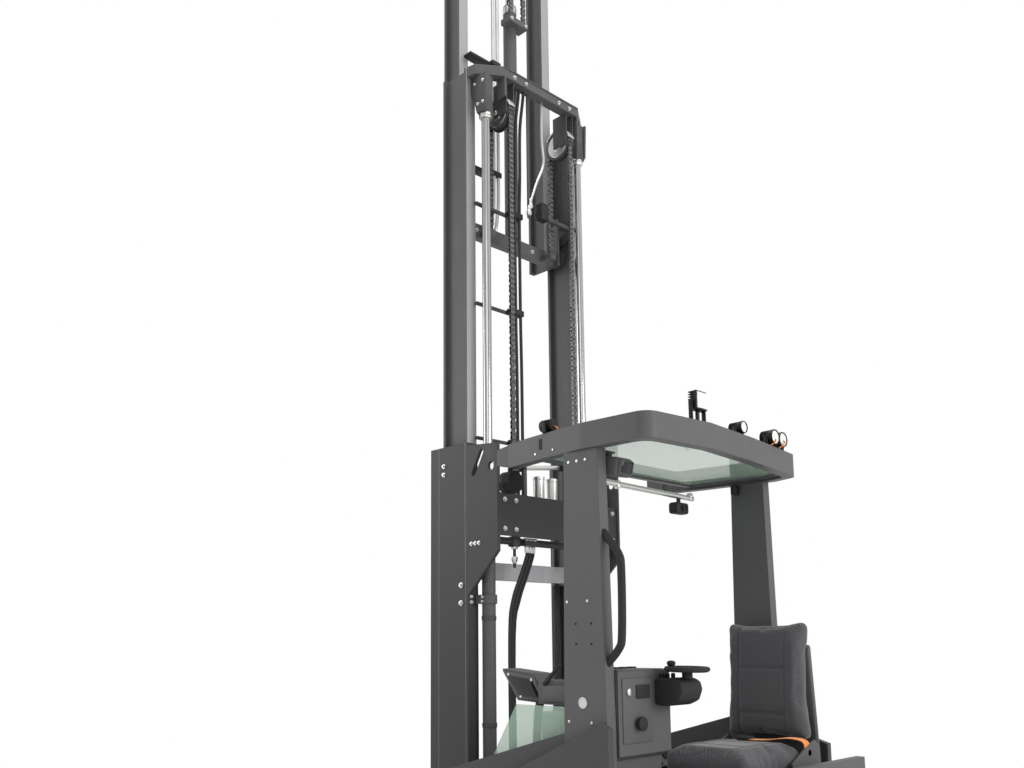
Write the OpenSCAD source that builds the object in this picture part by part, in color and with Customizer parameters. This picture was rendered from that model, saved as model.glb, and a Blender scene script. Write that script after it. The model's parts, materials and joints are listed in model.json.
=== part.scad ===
// Sit-on reach truck: battery chassis with two reach legs, sideways operator seat under an
// overhead guard, and a three-stage mast that slides between the legs. The mast stands raised.
// +X points to the fork tips, +Y to the truck's left, +Z up. The origin is on the floor.

/* [Truck] */
// Rear bumper to the fork face, mast as drawn
body_l = 1740; // [1700:1:1800]
// Fork blade length
fork_l = 1070; // [900:1:1200]
// Width over the legs and side panels
truck_w = 1270; // [1240:1:1330]
// Height over the overhead guard
guard_h = 2190; // [2150:1:2300]
// Drive wheel axle to load wheel axle
wheelbase = 1450; // [1420:1:1500]
// Rear bumper to the drive wheel axle
drive_setback = 270; // [260:1:290]

/* [Chassis] */
// Floor clearance under the frame
ground_gap = 70; // [50:1:100]
// Height of the reach legs over the floor
leg_top = 300; // [296:1:320]
// Width of one reach leg
leg_w = 185; // [180:1:190]
// Wall of the legs and frame plates
plate_t = 15; // [10:1:18]
// Height of the low sill around the operator's floor
sill_h = 420; // [400:1:440]
// Height of the operator's floor
floor_h = 395; // [370:1:398]
// Thickness of the moulded body panels
panel_t = 30; // [20:1:32]
// Battery length along the truck
battery_l = 290; // [280:1:310]
// Battery height
battery_h = 540; // [500:1:545]

/* [Wheels] */
// Load wheel diameter
load_d = 285; // [270:1:288]
// Load wheel width
load_tread = 100; // [80:1:104]
// Drive wheel diameter
drive_d = 343; // [330:1:350]
// Drive wheel width
drive_tread = 140; // [110:1:145]
// Tyre thickness on both kinds of wheel
tyre_t = 35; // [25:1:45]
// Load axle diameter
axle_d = 40; // [30:1:50]
// Drive axle diameter
drive_axle_d = 60; // [50:1:70]
// Radial running clearance of a wheel on its axle
run_gap = 0.05; // [0.02:0.01:0.1]
// Gap between a guide roller and the flange it bears on
bear_gap = 0.3; // [0.2:0.1:0.5]

/* [Mast] */
// Width over the outer rails
mast_w = 840; // [820:1:850]
// Depth of an outer rail's side plate
outer_depth = 260; // [250:1:270]
// Height of the outer rails' top over the floor
outer_top = 2280; // [2250:1:2320]
// Length of the middle rails
mid_l = 2490; // [2450:1:2520]
// Length of the inner rails
inner_l = 2800; // [2750:1:2850]
// How far the middle stage is raised as drawn
mid_lift = 1600; // [1500:1:1650]
// Travel of the free-lift rod
free_lift = 1200; // [1000:1:1220]
// Guide roller diameter
roller_d = 100; // [90:1:104]
// Lift rod diameter
rod_d = 42; // [36:1:44]
// Lift cylinder barrel diameter
barrel_d = 62; // [58:1:64]
// Free-lift rod diameter
free_rod_d = 44; // [40:1:50]
// Free-lift cylinder barrel diameter
free_barrel_d = 70; // [66:1:76]
// Lifting eye diameter in the outer rails
eye_d = 40; // [30:1:50]
// Chain sheave pitch diameter
sheave_d = 140; // [130:1:146]
// Pitch diameter of the free-lift head's sheaves
head_sheave_d = 110; // [100:1:112]
// Hydraulic hose diameter
hose_d = 15; // [12:1:18]
// Leaf chain width
chain_w = 26; // [20:1:28]
// Leaf chain plate height
chain_h = 16; // [12:1:18]
// Leaf chain pitch
chain_pitch = 38; // [34:1:44]

/* [Forks] */
// Fork blade width
fork_w = 100; // [80:1:120]
// Fork blade thickness
fork_t = 40; // [35:1:45]
// Fork shank height
shank_h = 540; // [500:1:560]
// Distance between the fork centre lines
fork_spread = 520; // [450:1:560]
// Height of the load backrest over the fork heels
backrest_h = 1000; // [900:1:1100]
// Width of the fork carriage
carriage_w = 750; // [700:1:760]
// Tilt pin diameter
pin_d = 30; // [25:1:36]

/* [Overhead guard] */
// Height of the guard's edge band
band_h = 100; // [90:1:110]
// Width of the guard's edge band
band_w = 46; // [40:1:60]
// Thickness of the roof pane
glass_t = 8; // [6:1:12]
// Pillar thickness across the truck
pillar_t = 50; // [40:1:55]
// Accessory hole diameter in the entry pillar
hole_d = 9; // [7:1:11]
// Accessory hole spacing, both ways
hole_pitch = 75; // [60:1:100]

/* [Cabin] */
// Height of the seat cushion's top
seat_h = 950; // [930:1:970]
// Width of the seat
seat_w = 430; // [400:1:440]
// Thickness of the seat cushion
cushion_t = 120; // [100:1:130]
// Height of the seat back over the cushion
back_h = 520; // [480:1:560]
// Height of the console's top
console_top = 1262; // [1240:1:1280]
// Steering wheel diameter
wheel_d = 150; // [140:1:180]
// Thickness of the clear side screen
screen_t = 6; // [4:1:8]
// Grab handle tube diameter
handle_d = 30; // [26:1:34]

/* [Hidden] */
$fn = 64;

// Tints
charcoal = [0.23, 0.23, 0.24];
moulding = [0.27, 0.27, 0.28];
black = [0.07, 0.07, 0.07];
grey = [0.34, 0.34, 0.35];
pale = [0.75, 0.75, 0.76];
steel = [0.7, 0.7, 0.72];
amber = [0.55, 0.3, 0.12];
pane_tint = [0.8, 0.92, 0.84, 0.4];

// Cutting tools run past the faces they open, and joined pieces run into each other
over = 1;
// Clearance of moving pieces
clear = 6;
// Clearance of the battery in its bay
bay_gap = 5;

// Stations along the truck
rear_x = -(body_l + fork_l) / 2;
rear_in = rear_x + 40;
sill_end = rear_x + 210;
face_x = rear_x + body_l;
bulkhead_x = rear_x + 635;
cab_front = bulkhead_x - 15;
leg_start = bulkhead_x + plate_t;
battery_x = leg_start + bay_gap;
battery_end = battery_x + battery_l;
cover_x = rear_x + 1345;
roof_rear = rear_x + 165;
pane_front = rear_x + 810;
arm_front = rear_x + 1040;

// Stations across the truck
half_w = truck_w / 2;
leg_in = half_w - leg_w;
panel_in = half_w - panel_t;
pillar_out = panel_in;
pillar_in = pillar_out - pillar_t;
bay_y = pillar_in - 10;
box_side = 75;

// Levels
support_z = floor_h - plate_t;
battery_z = leg_top;
box_top = seat_h - 190;
cushion_z = seat_h - cushion_t;
band_z = guard_h - band_h;
lip_z = band_z + 12;
lip_t = 10;

// Pillars: half widths of foot and head
pillar_foot = 103;
pillar_head = 84;
pillar_x = cab_front - pillar_foot;
hole_z = 1400;

// Sloping top edges of the side panels and battery covers
ledge_x = pillar_x - 94;
ledge_peak = 1081;
ledge_slope = 24.3;
cover_peak = 1037;
cover_slope = 15.5;

// Wheels and drive unit
drive_x = rear_x + drive_setback;
drive_y = -120;
drive_sweep = 205;
neck_d = 150;
load_x = drive_x + wheelbase;
leg_tip = load_x + load_d / 2 + 36;

// Load wheel slot in a leg: web, wheel and outer plate side by side
wheel_gap = 5;
slot_in = half_w - plate_t - load_tread - 2 * wheel_gap;
wheel_y = half_w - plate_t - wheel_gap - load_tread / 2;
track_depth = slot_in - plate_t - leg_in;
track_z = leg_top / 2 + 35;
track_h = roller_d + bear_gap + 3;

// Seat, which faces the entry side
seat_x = cab_front - seat_w / 2 - 5;
seat_rear = -405;

// Outer rails
mast_front = face_x - 120;
mast_rear = mast_front - outer_depth;
outer_y = mast_w / 2;
outer_web = 16;
outer_in = outer_y - outer_web;
flange_t = 18;
outer_bottom = 90;
outer_lip = 62;
outer_fx = mast_front - 40;
gusset_x = mast_rear - 196;
gusset_foot = [1580, 1770];
eye_x = mast_rear - 155;
eye_z = outer_top - 130;
crossbar_x = mast_rear - 92;
crossbar_z = 1830;
crossbar_d = 34;

// Middle rails inside the outer ones, with the collar at their top
rail_t = 16;
mid_y = outer_in - clear;
mid_x = mast_rear + flange_t + clear;
mid_depth = outer_fx - flange_t - mid_x - clear;
mid_bottom = 60 + mid_lift;
mid_top = mid_bottom + mid_l;
mid_flange = 56;
mid_web = 14;
cheek_l = 2 * roller_d + 60;
low_roller = 60;
high_roller = 80 + roller_d;
collar_x = mast_rear - 110;
collar_half = 267;
collar_h = 50;
collar_t = 55;

// Lift cylinders and chains
rod_x = mast_rear - barrel_d / 2 - 9;
rod_y = outer_y - 90;
barrel_foot = 260;
barrel_top = outer_top - 130;
gland_h = 40;
rod_head = mid_top - 250;
clamp_z = [1545, 1585];
chain_x = crossbar_x;
chain_y = 216;
sheave_x = chain_x + sheave_d / 2;
sheave_z = mid_top - 200;
anchor_z = crossbar_z + crossbar_d / 2;
sheave_w = chain_w + 10;

// Inner rails inside the middle ones
inner_y = mid_y - mid_flange - 2 * clear;
inner_x = mast_front - 110;
inner_depth = 118;
inner_bottom = mid_bottom + mid_lift + 90;
inner_top = inner_bottom + inner_l;
inner_flange = 56;
inner_web = 14;

// Free-lift cylinder in the inner stage
free_x = inner_x - 28;
free_bottom = inner_bottom + 70;
free_top = inner_top - free_lift - 240;
head_z = free_top + free_lift + 75;
head_y = 45;
strap_z = free_top - 100;

// Carriage and forks as drawn, at the top of the inner stage
carriage_h = 520;
fork_z = inner_top - carriage_h;
carriage_y = inner_y - inner_flange - clear;
cheek_t = 16;
chain_bar_z = fork_z + 180;
tilt_x = face_x - 105;
tilt_z = fork_z + carriage_h - 40;
frame_x = [face_x - 75, face_x - 40];
frame_z = [fork_z + 90, fork_z + 530];

// Roof outline: station along the truck and half width, the entry side first
roof_outline = [
  [arm_front, 530], [pane_front, 575], [roof_rear + 340, 618], [roof_rear + 30, 608], [roof_rear, 250],
  [roof_rear + 40, -120], [roof_rear + 110, -575], [roof_rear + 240, -618], [pane_front, -575],
  [arm_front, -530]];
arm_y = 515;
arm_t = 50;

// Round lamps on the guard: station along, station across, diameter
lamp_table = [
  [roof_rear + 62, -35, 45], [roof_rear + 92, -330, 60], [roof_rear + 98, -405, 60],
  [pane_front - 98, 568, 45]];
LAMP_X = 0;
LAMP_Y = 1;
LAMP_D = 2;

// Solid between two stations on each axis
module slab(x, y, z) {
  translate([x[0], y[0], z[0]]) cube([x[1] - x[0], y[1] - y[0], z[1] - z[0]]);
}
module both_sides() {
  children();
  mirror([0, 1, 0]) children();
}
// Outline in X and Z, drawn across the truck between two Y values
module across(y, pts) {
  translate([0, y[1], 0]) rotate([90, 0, 0]) linear_extrude(y[1] - y[0]) polygon(pts);
}
// Outline in Y and Z, drawn along the truck between two X values
module along(x, pts) {
  translate([x[0], 0, 0]) rotate([90, 0, 90]) linear_extrude(x[1] - x[0]) polygon(pts);
}
module bar_x(d, x, y, z) {
  translate([x[0], y, z]) rotate([0, 90, 0]) cylinder(d = d, h = x[1] - x[0]);
}
module bar_y(d, x, z, y) {
  translate([x, y[1], z]) rotate([90, 0, 0]) cylinder(d = d, h = y[1] - y[0]);
}
module bar_z(d, x, y, z) {
  translate([x, y, z[0]]) cylinder(d = d, h = z[1] - z[0]);
}
// Round-ended slot across the truck, from one point in X and Z to another
module slot_y(d, a, b, y) {
  hull() for (p = [a, b]) bar_y(d, p[0], p[1], y, $fn = 32);
}

// Smooth route through hand-picked points, with a round section swept along it
function pick(p, i) = p[max(0, min(len(p) - 1, i))];
function curve_at(a, b, c, d, t) = 0.5 * (2 * b + (c - a) * t + (2 * a - 5 * b + 4 * c - d) * t * t
  + (3 * b - a - 3 * c + d) * t * t * t);
function smooth_route(p, n) = concat([for (i = [0 : len(p) - 2]) for (k = [0 : n - 1])
  curve_at(pick(p, i - 1), p[i], p[i + 1], pick(p, i + 2), k / n)], [p[len(p) - 1]]);
function unit(v) = v / norm(v);
module swept(route, d, sides = 10) {
  last = len(route) - 1;
  points = [for (i = [0 : last])
    let (t = unit(pick(route, i + 1) - pick(route, i - 1)), u = unit(cross(t, [1, 0, 0])), v = cross(u, t))
    for (k = [0 : sides - 1]) route[i] + d / 2 * (cos(360 * k / sides) * u + sin(360 * k / sides) * v)];
  walls = [for (i = [0 : last - 1]) for (k = [0 : sides - 1])
    let (a = i * sides + k, b = i * sides + (k + 1) % sides)
    each [[a, b, b + sides], [a, b + sides, a + sides]]];
  polyhedron(points, concat(walls, [[for (k = [sides - 1 : -1 : 0]) k]],
    [[for (k = [0 : sides - 1]) last * sides + k]]));
}

// Chassis
module chassis_frame() {
  ring_w = 150;
  rib_t = 16;
  rib_gap = 12;
  color(charcoal) {
    difference() {
      slab([rear_in, leg_start], [-panel_in, panel_in], [ground_gap, ground_gap + plate_t]);
      bar_z(2 * drive_sweep, drive_x, drive_y, [ground_gap - over, ground_gap + plate_t + over]);
    }
    both_sides() slab([rear_in, cab_front], [panel_in - plate_t, panel_in], [ground_gap, support_z]);
    slab([rear_in, rear_in + plate_t], [-panel_in, panel_in], [ground_gap, support_z]);
    slab([bulkhead_x, leg_start], [-bay_y, bay_y], [ground_gap, battery_z + battery_h]);
    difference() {
      slab([drive_x - drive_sweep - 20, drive_x + drive_sweep + 20], [drive_y - ring_w, drive_y + ring_w],
        [support_z - plate_t, support_z]);
      bar_z(neck_d, drive_x, drive_y, [support_z - plate_t - over, support_z + over]);
    }
    for (x = [drive_x - drive_sweep - rib_gap, drive_x + drive_sweep + rib_gap])
      slab([x - rib_t / 2, x + rib_t / 2], [-panel_in, box_side - bay_gap], [ground_gap, support_z]);
  }
}
module reach_legs() {
  nose = 40;
  stop_h = 160;
  stop_x = battery_end + bay_gap;
  slot_roof = 8;
  color(charcoal) both_sides() {
    difference() {
      union() {
        translate([0, 0, ground_gap]) linear_extrude(leg_top - ground_gap) polygon([
          [leg_start, leg_in], [leg_tip - nose, leg_in], [leg_tip, leg_in + nose], [leg_tip, half_w - nose],
          [leg_tip - nose, half_w], [leg_start, half_w]]);
        slab([stop_x, stop_x + plate_t], [leg_in, pillar_in], [leg_top - over, leg_top + stop_h]);
      }
      slab([leg_start + 55, leg_tip - nose], [leg_in - over, leg_in + track_depth],
        [track_z - track_h / 2, track_z + track_h / 2]);
      slab([load_x - load_d / 2 - 20, load_x + load_d / 2 + 8], [slot_in, half_w - plate_t],
        [ground_gap - over, leg_top - slot_roof]);
    }
    bar_y(axle_d, load_x, load_d / 2, [slot_in - over, half_w - plate_t + over]);
  }
}
module operator_floor() {
  color(black) slab([rear_in, cab_front], [box_side + bay_gap, panel_in], [support_z, floor_h]);
}
module seat_box() {
  color(moulding) difference() {
    slab([rear_in, cab_front], [-panel_in, box_side], [support_z, box_top]);
    slab([rear_in + panel_t, cab_front - panel_t], [-panel_in + panel_t, box_side - panel_t],
      [support_z - over, box_top - panel_t]);
  }
}
module rear_panel() {
  corner = 80;
  arm = sill_end - rear_x;
  guard_top = 900;
  color(moulding) {
    translate([0, 0, ground_gap]) linear_extrude(sill_h - ground_gap) difference() {
      union() {
        both_sides() translate([rear_x + corner, half_w - corner]) circle(r = corner);
        translate([rear_x, corner - half_w]) square([arm, truck_w - 2 * corner]);
        translate([rear_x + corner, -half_w]) square([arm - corner, truck_w]);
      }
      translate([rear_in, -panel_in]) square([arm, 2 * panel_in]);
    }
    slab([rear_x + 4, rear_in], [-panel_in + 90, box_side + 15], [sill_h - over, guard_top]);
  }
}

// Side panels with a ledge that peaks at the pillar
function ledge_z(x) = ledge_peak - abs(x - ledge_x) * tan(ledge_slope);
module side_panels() {
  step_x = pillar_x - 130;
  front = [[cover_x, leg_top], [cover_x, ledge_z(cover_x)], [ledge_x, ledge_peak]];
  entry = [[step_x, ledge_z(step_x)], [step_x, sill_h], [sill_end, sill_h]];
  flank = [[pillar_x - 190, 965], [sill_end, 930]];
  foot = [[sill_end, ground_gap], [leg_start, ground_gap], [leg_start, leg_top]];
  color(moulding) {
    across([panel_in, half_w], concat(front, entry, foot));
    across([-half_w, -panel_in], concat(front, flank, foot));
  }
}
module battery() {
  color(black) slab([battery_x, battery_end], [-bay_y, bay_y], [battery_z, battery_z + battery_h]);
}
function cover_z(x) = cover_peak - (x - cab_front) * tan(cover_slope);
module battery_covers() {
  color(moulding) both_sides() across([pillar_in, panel_in], [
    [cab_front, leg_top], [cab_front, cover_peak], [cover_x, cover_z(cover_x)], [cover_x, leg_top]]);
}

// Overhead guard
module pillar(foot_z) {
  across([pillar_in, pillar_out], [
    [pillar_x - pillar_foot, foot_z], [pillar_x + pillar_foot, foot_z],
    [pillar_x + pillar_foot, cover_peak], [pillar_x + pillar_head, band_z],
    [pillar_x - pillar_head, band_z], [pillar_x - pillar_foot, cover_peak]]);
}
module pillars() {
  color(charcoal) {
    difference() {
      pillar(floor_h);
      for (x = [-1, 1], z = [-1, 1])
        bar_y(hole_d, pillar_x + x * hole_pitch / 2, hole_z + z * hole_pitch / 2,
          [pillar_in - over, pillar_out + over]);
    }
    mirror([0, 1, 0]) pillar(box_top);
  }
}
module roof_plan(inset) {
  round_r = 60;
  offset(r = round_r, $fn = 32) offset(delta = -round_r - inset) polygon(roof_outline);
}
// Roof outline behind a station
module roof_behind(x, inset) {
  intersection() {
    roof_plan(inset);
    translate([rear_x, -half_w]) square([x - rear_x, truck_w]);
  }
}
module roof_frame() {
  cut = 70;
  tip = 95;
  rail = 15;
  lip_w = 24;
  color(charcoal) {
    translate([0, 0, band_z]) linear_extrude(band_h) difference() {
      roof_behind(arm_front - cut, 0);
      roof_plan(band_w);
    }
    both_sides() across([arm_y - arm_t / 2, arm_y + arm_t / 2], [[arm_front - tip, band_z],
      [arm_front, band_z + 20], [arm_front, guard_h - 12], [arm_front - tip, guard_h]]);
    slab([pane_front - rail, pane_front + rail], [-545, 545], [lip_z, guard_h - 26]);
    translate([0, 0, lip_z]) linear_extrude(lip_t) difference() {
      roof_behind(pane_front, band_w - 4);
      roof_plan(band_w + lip_w);
    }
  }
}
module roof_glass() {
  edge = 3;
  color(pane_tint) translate([0, 0, lip_z + lip_t]) linear_extrude(glass_t)
    roof_behind(pane_front - 18, band_w + edge);
}
module roof_lamps() {
  square_h = 80;
  square_y = 255;
  stalk = 40;
  barrel_l = 60;
  spot_x = arm_front - 75;
  spot_y = 535;
  spot_d = 84;
  spot_z = band_z - 60;
  color(black) {
    translate([roof_rear + 5, square_y, guard_h + stalk]) cube([40, square_h, square_h]);
    bar_z(16, roof_rear + 30, square_y + square_h / 2, [guard_h, guard_h + stalk + over]);
    for (lamp = lamp_table) {
      bar_x(lamp[LAMP_D], [lamp[LAMP_X] - barrel_l / 2, lamp[LAMP_X] + barrel_l / 2], lamp[LAMP_Y],
        guard_h + 10 + lamp[LAMP_D] / 2);
      bar_z(12, lamp[LAMP_X], lamp[LAMP_Y], [guard_h, guard_h + 14]);
    }
    bar_z(20, spot_x, spot_y, [spot_z, band_z]);
    bar_x(spot_d, [spot_x - barrel_l / 2, spot_x + barrel_l / 2], spot_y, spot_z);
  }
}
module roof_monitor() {
  size = [130, 110, 100];
  drop = 5;
  color(black) translate([pillar_x - 150, pillar_in - size[1], band_z - drop - size[2]]) cube(size);
}

// Cabin
module console() {
  depth = 215;
  color(grey) across([240, 550], [
    [cab_front, floor_h], [cab_front, console_top], [cab_front - depth, console_top],
    [cab_front - depth, console_top - 302], [cab_front - 170, console_top - 322],
    [cab_front - 110, floor_h]]);
}
module display_unit() {
  shelf_z = 1130;
  color(grey) {
    across([400, 500], [[cab_front + 440, 1265], [cab_front + 260, 1248], [cab_front + 250, 1235],
      [cab_front + 180, shelf_z], [cab_front + 350, shelf_z + 10]]);
    slab([cab_front, cab_front + 215], [410, 520], [shelf_z, shelf_z + 85]);
  }
}
module connector_box() {
  color(pale) slab([cab_front + 70, cab_front + 180], [430, pillar_in - screen_t], [985, 1105]);
}
module side_screen() {
  foot = 800;
  top = 1128;
  color(pane_tint) across([pillar_in - screen_t, pillar_in], [
    [cab_front, foot], [cab_front, top], [cab_front + 305, top], [cab_front + 440, 920],
    [cab_front + 450, foot]]);
}
module armrest_pod() {
  rim_d = 22;
  spoke_d = 14;
  pod_z = [1130, 1235];
  wheel_z = pod_z[1] + 30;
  wheel_x = cab_front - 320;
  wheel_side = 270;
  color(black) {
    slab([cab_front - 345, cab_front - 215], [wheel_side - 70, wheel_side + 70], pod_z);
    bar_z(40, wheel_x, wheel_side, [pod_z[1], wheel_z]);
    translate([wheel_x, wheel_side, wheel_z]) {
      rotate_extrude() translate([wheel_d / 2, 0]) circle(d = rim_d);
      for (a = [0, 120, 240]) rotate([0, 90, a]) cylinder(d = spoke_d, h = wheel_d / 2);
    }
  }
}
module seat_base() {
  inset = 30;
  half = seat_w / 2 - inset;
  color(grey) slab([seat_x - half, seat_x + half], [-530, 40], [box_top, cushion_z]);
}
module seat_cushion() {
  color(black) slab([seat_x - seat_w / 2, seat_x + seat_w / 2], [seat_rear, box_side - bay_gap],
    [cushion_z + bear_gap, seat_h]);
}
module seat_back() {
  foot_t = 100;
  head_t = 90;
  lean = 45;
  front = seat_rear - bay_gap;
  color(black) along([seat_x - seat_w / 2, seat_x + seat_w / 2], [
    [front, cushion_z + bear_gap], [front - foot_t, cushion_z + bear_gap],
    [front - lean - head_t, seat_h + back_h], [front - lean, seat_h + back_h]]);
}
module grab_handle() {
  y = (pillar_out + pillar_in) / 2;
  rear = pillar_x - pillar_foot;
  top = band_z - 316;
  foot = top - 483;
  color(black) swept(smooth_route([[rear + 20, y, top], [rear - 50, y, top - 84], [rear - 62, y, top - 154],
    [rear - 58, y, foot + 109], [rear - 42, y, foot + 54], [rear + 14, y, foot]], 4), handle_d, 16);
}

// Drive unit
module drive_motor() {
  motor_d = 200;
  color(grey) bar_z(motor_d, drive_x, drive_y, [support_z, box_top - 60]);
}
module drive_gearbox() {
  arm_gap = 8;
  fork_y = drive_y + drive_tread / 2 + arm_gap;
  half_arm = 65;
  color(grey) {
    bar_z(neck_d - 2 * bear_gap, drive_x, drive_y, [drive_d + arm_gap, support_z - bear_gap]);
    bar_z(280, drive_x, drive_y, [drive_d + arm_gap - over, support_z - plate_t - bear_gap]);
    slab([drive_x - half_arm, drive_x + half_arm], [fork_y, fork_y + 50],
      [drive_d / 2 - half_arm, drive_d + arm_gap]);
    bar_y(drive_axle_d, drive_x, drive_d / 2, [drive_y - drive_tread / 2, fork_y + over]);
  }
}
module hub(d, w, bore) {
  rim = 12;
  boss = 18;
  dish = w / 4;
  rotate([90, 0, 0]) translate([0, 0, -w / 2]) difference() {
    cylinder(d = d, h = w);
    translate([0, 0, -over]) cylinder(d = bore, h = w + 2 * over);
    for (z = [-over, w - dish]) translate([0, 0, z]) difference() {
      cylinder(d = d - 2 * rim, h = dish + over);
      translate([0, 0, -over]) cylinder(d = bore + 2 * boss, h = w);
    }
  }
}
module tyre(d, w) {
  r = d / 2;
  edge = w / 2;
  bevel = [8, 10];
  rotate([90, 0, 0]) rotate_extrude() polygon([
    [r - tyre_t, -edge], [r - bevel[0], -edge], [r, -edge + bevel[1]], [r, edge - bevel[1]],
    [r - bevel[0], edge], [r - tyre_t, edge]]);
}
module at_drive() translate([drive_x, drive_y, drive_d / 2]) children();
module at_load(s) translate([load_x, s * wheel_y, load_d / 2]) children();
module load_hub() color(steel) hub(load_d - 2 * tyre_t, load_tread, axle_d + 2 * run_gap);
module load_tyre() color(amber) tyre(load_d, load_tread);
module drive_hub() color(steel) at_drive() hub(drive_d - 2 * tyre_t, drive_tread, drive_axle_d + 2 * run_gap);
module drive_tyre() color(black) at_drive() tyre(drive_d, drive_tread);
module load_hub_left() at_load(1) load_hub();
module load_tyre_left() at_load(1) load_tyre();
module load_hub_right() at_load(-1) load_hub();
module load_tyre_right() at_load(-1) load_tyre();

// Outer mast on its reach carriage
module reach_carriage() {
  roller_z = track_z - track_h / 2 + roller_d / 2 + bear_gap;
  stub_d = 40;
  color(charcoal) {
    slab([mast_rear - 140, mast_rear], [-outer_y, outer_y], [100, barrel_foot]);
    both_sides() {
      slab([mast_rear - 330, mast_rear + 140], [outer_y, leg_in - 8], [130, 240]);
      for (x = [mast_rear - 275, mast_rear + 85]) {
        bar_y(stub_d, x, roller_z, [leg_in - 9, leg_in + 4]);
        bar_y(roller_d, x, roller_z, [leg_in + 3, leg_in + track_depth - wheel_gap]);
      }
    }
  }
}
module outer_rails() {
  web = [outer_in, outer_y];
  between = [-outer_in - over, outer_in + over];
  through = [-outer_y - over, outer_y + over];
  rail_z = [outer_bottom, outer_top];
  stud_d = 14;
  slot_d = 26;
  color(charcoal) difference() {
    union() {
      both_sides() {
        slab([mast_rear, mast_front], web, rail_z);
        for (x = [mast_rear, outer_fx - flange_t])
          slab([x, x + flange_t], [outer_y - outer_lip, outer_y], rail_z);
        across(web, [[mast_rear + over, gusset_foot[0]], [gusset_x, gusset_foot[1]],
          [gusset_x, outer_top - 30], [mast_rear + over, outer_top - 15]]);
      }
      slab([gusset_x + 6, gusset_x + 18], between, [1840, 2030]);
      bar_y(crossbar_d, crossbar_x, crossbar_z, between);
      slab([crossbar_x - 44, crossbar_x], [100, 190], [crossbar_z - 18, crossbar_z + 4]);
      for (s = [-1, 1]) bar_z(stud_d, chain_x, s * chain_y, [crossbar_z - 120, crossbar_z]);
    }
    bar_y(eye_d, eye_x, eye_z, through);
    slot_y(slot_d, [mast_rear - 92, outer_top - 58], [mast_rear - 40, outer_top - 150], through);
  }
}
module lift_barrels() {
  clamp_d = barrel_d + 14;
  color(charcoal) both_sides() difference() {
    union() {
      bar_z(barrel_d, rod_x, rod_y, [barrel_foot, barrel_top]);
      bar_z(clamp_d, rod_x, rod_y, clamp_z);
      slab([rod_x, mast_rear], [rod_y, outer_y - outer_lip + 18], clamp_z);
    }
    bar_z(rod_d + 6, rod_x, rod_y, [barrel_foot + 10, barrel_top - gland_h]);
    bar_z(rod_d + 2 * bear_gap, rod_x, rod_y, [barrel_top - gland_h - over, barrel_top + over]);
  }
}
module mast_hoses() {
  color(black) for (i = [0 : 2]) {
    x = crossbar_x - 22 - 6 * i;
    top_y = 118 + 26 * i;
    low_y = 245 + 20 * i;
    swept(smooth_route([[x, top_y, crossbar_z - 18 - 2 * bear_gap], [x, top_y, 1770],
      [x - 4, top_y + 42, 1680], [x - 4, top_y + 97, 1560], [x, low_y, 1400], [x, low_y, 830],
      [x, low_y, barrel_foot]], 4), hose_d);
  }
}

// Rail of I section: one web with a flange at each end, the outer half flanges cut back at the foot
module rail(x, depth, y, flange, web, z, cheek) {
  half = (flange - web) / 2;
  slab([x, x + depth], [y - half - web, y - half], z);
  for (fx = [x, x + depth - rail_t]) {
    slab([fx, fx + rail_t], [y - flange, y - half - web + over], z);
    slab([fx, fx + rail_t], [y - half - over, y], [z[0] + cheek, z[1]]);
  }
}

// Plan outline from its points on the entry side
module both_halves(pts) {
  polygon(concat(pts, [for (i = [len(pts) - 1 : -1 : 0]) [pts[i][0], -pts[i][1]]]));
}

// Middle stage
module mid_rails() {
  web_out = mid_y - (mid_flange - mid_web) / 2;
  roller_y = [web_out - over, outer_in - 4];
  window = mid_y - mid_flange;
  head = 25;
  color(charcoal) {
    both_sides() {
      rail(mid_x, mid_depth, mid_y, mid_flange, mid_web, [mid_bottom, mid_top], cheek_l);
      bar_y(roller_d, outer_fx - flange_t - roller_d / 2 - bear_gap, mid_bottom + low_roller, roller_y);
      bar_y(roller_d, mast_rear + flange_t + roller_d / 2 + bear_gap, mid_bottom + high_roller, roller_y);
      slab([rod_x - head, rod_x + head], [rod_y - head, rod_y + head], [rod_head, mid_top - collar_h + over]);
      slab([collar_x, collar_x + collar_t], [collar_half - 10, collar_half],
        [mid_top - 150, mid_top - collar_h + over]);
    }
    slab([mid_x, mid_x + 30], [-window, window], [mid_bottom, mid_bottom + 80]);
    translate([0, 0, mid_top - collar_h]) linear_extrude(collar_h) difference() {
      both_halves([[mid_x + 8, mid_y], [mid_x - 50, mid_y - 12], [collar_x, collar_half]]);
      both_halves([[mid_x + 8 + over, window], [mid_x - 25, window],
        [collar_x + collar_t, collar_half - 17]]);
    }
  }
}
module lift_rods() {
  rod_foot = barrel_foot + 30 + mid_lift;
  color(steel) both_sides() bar_z(rod_d, rod_x, rod_y, [rod_foot, rod_head]);
}

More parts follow.
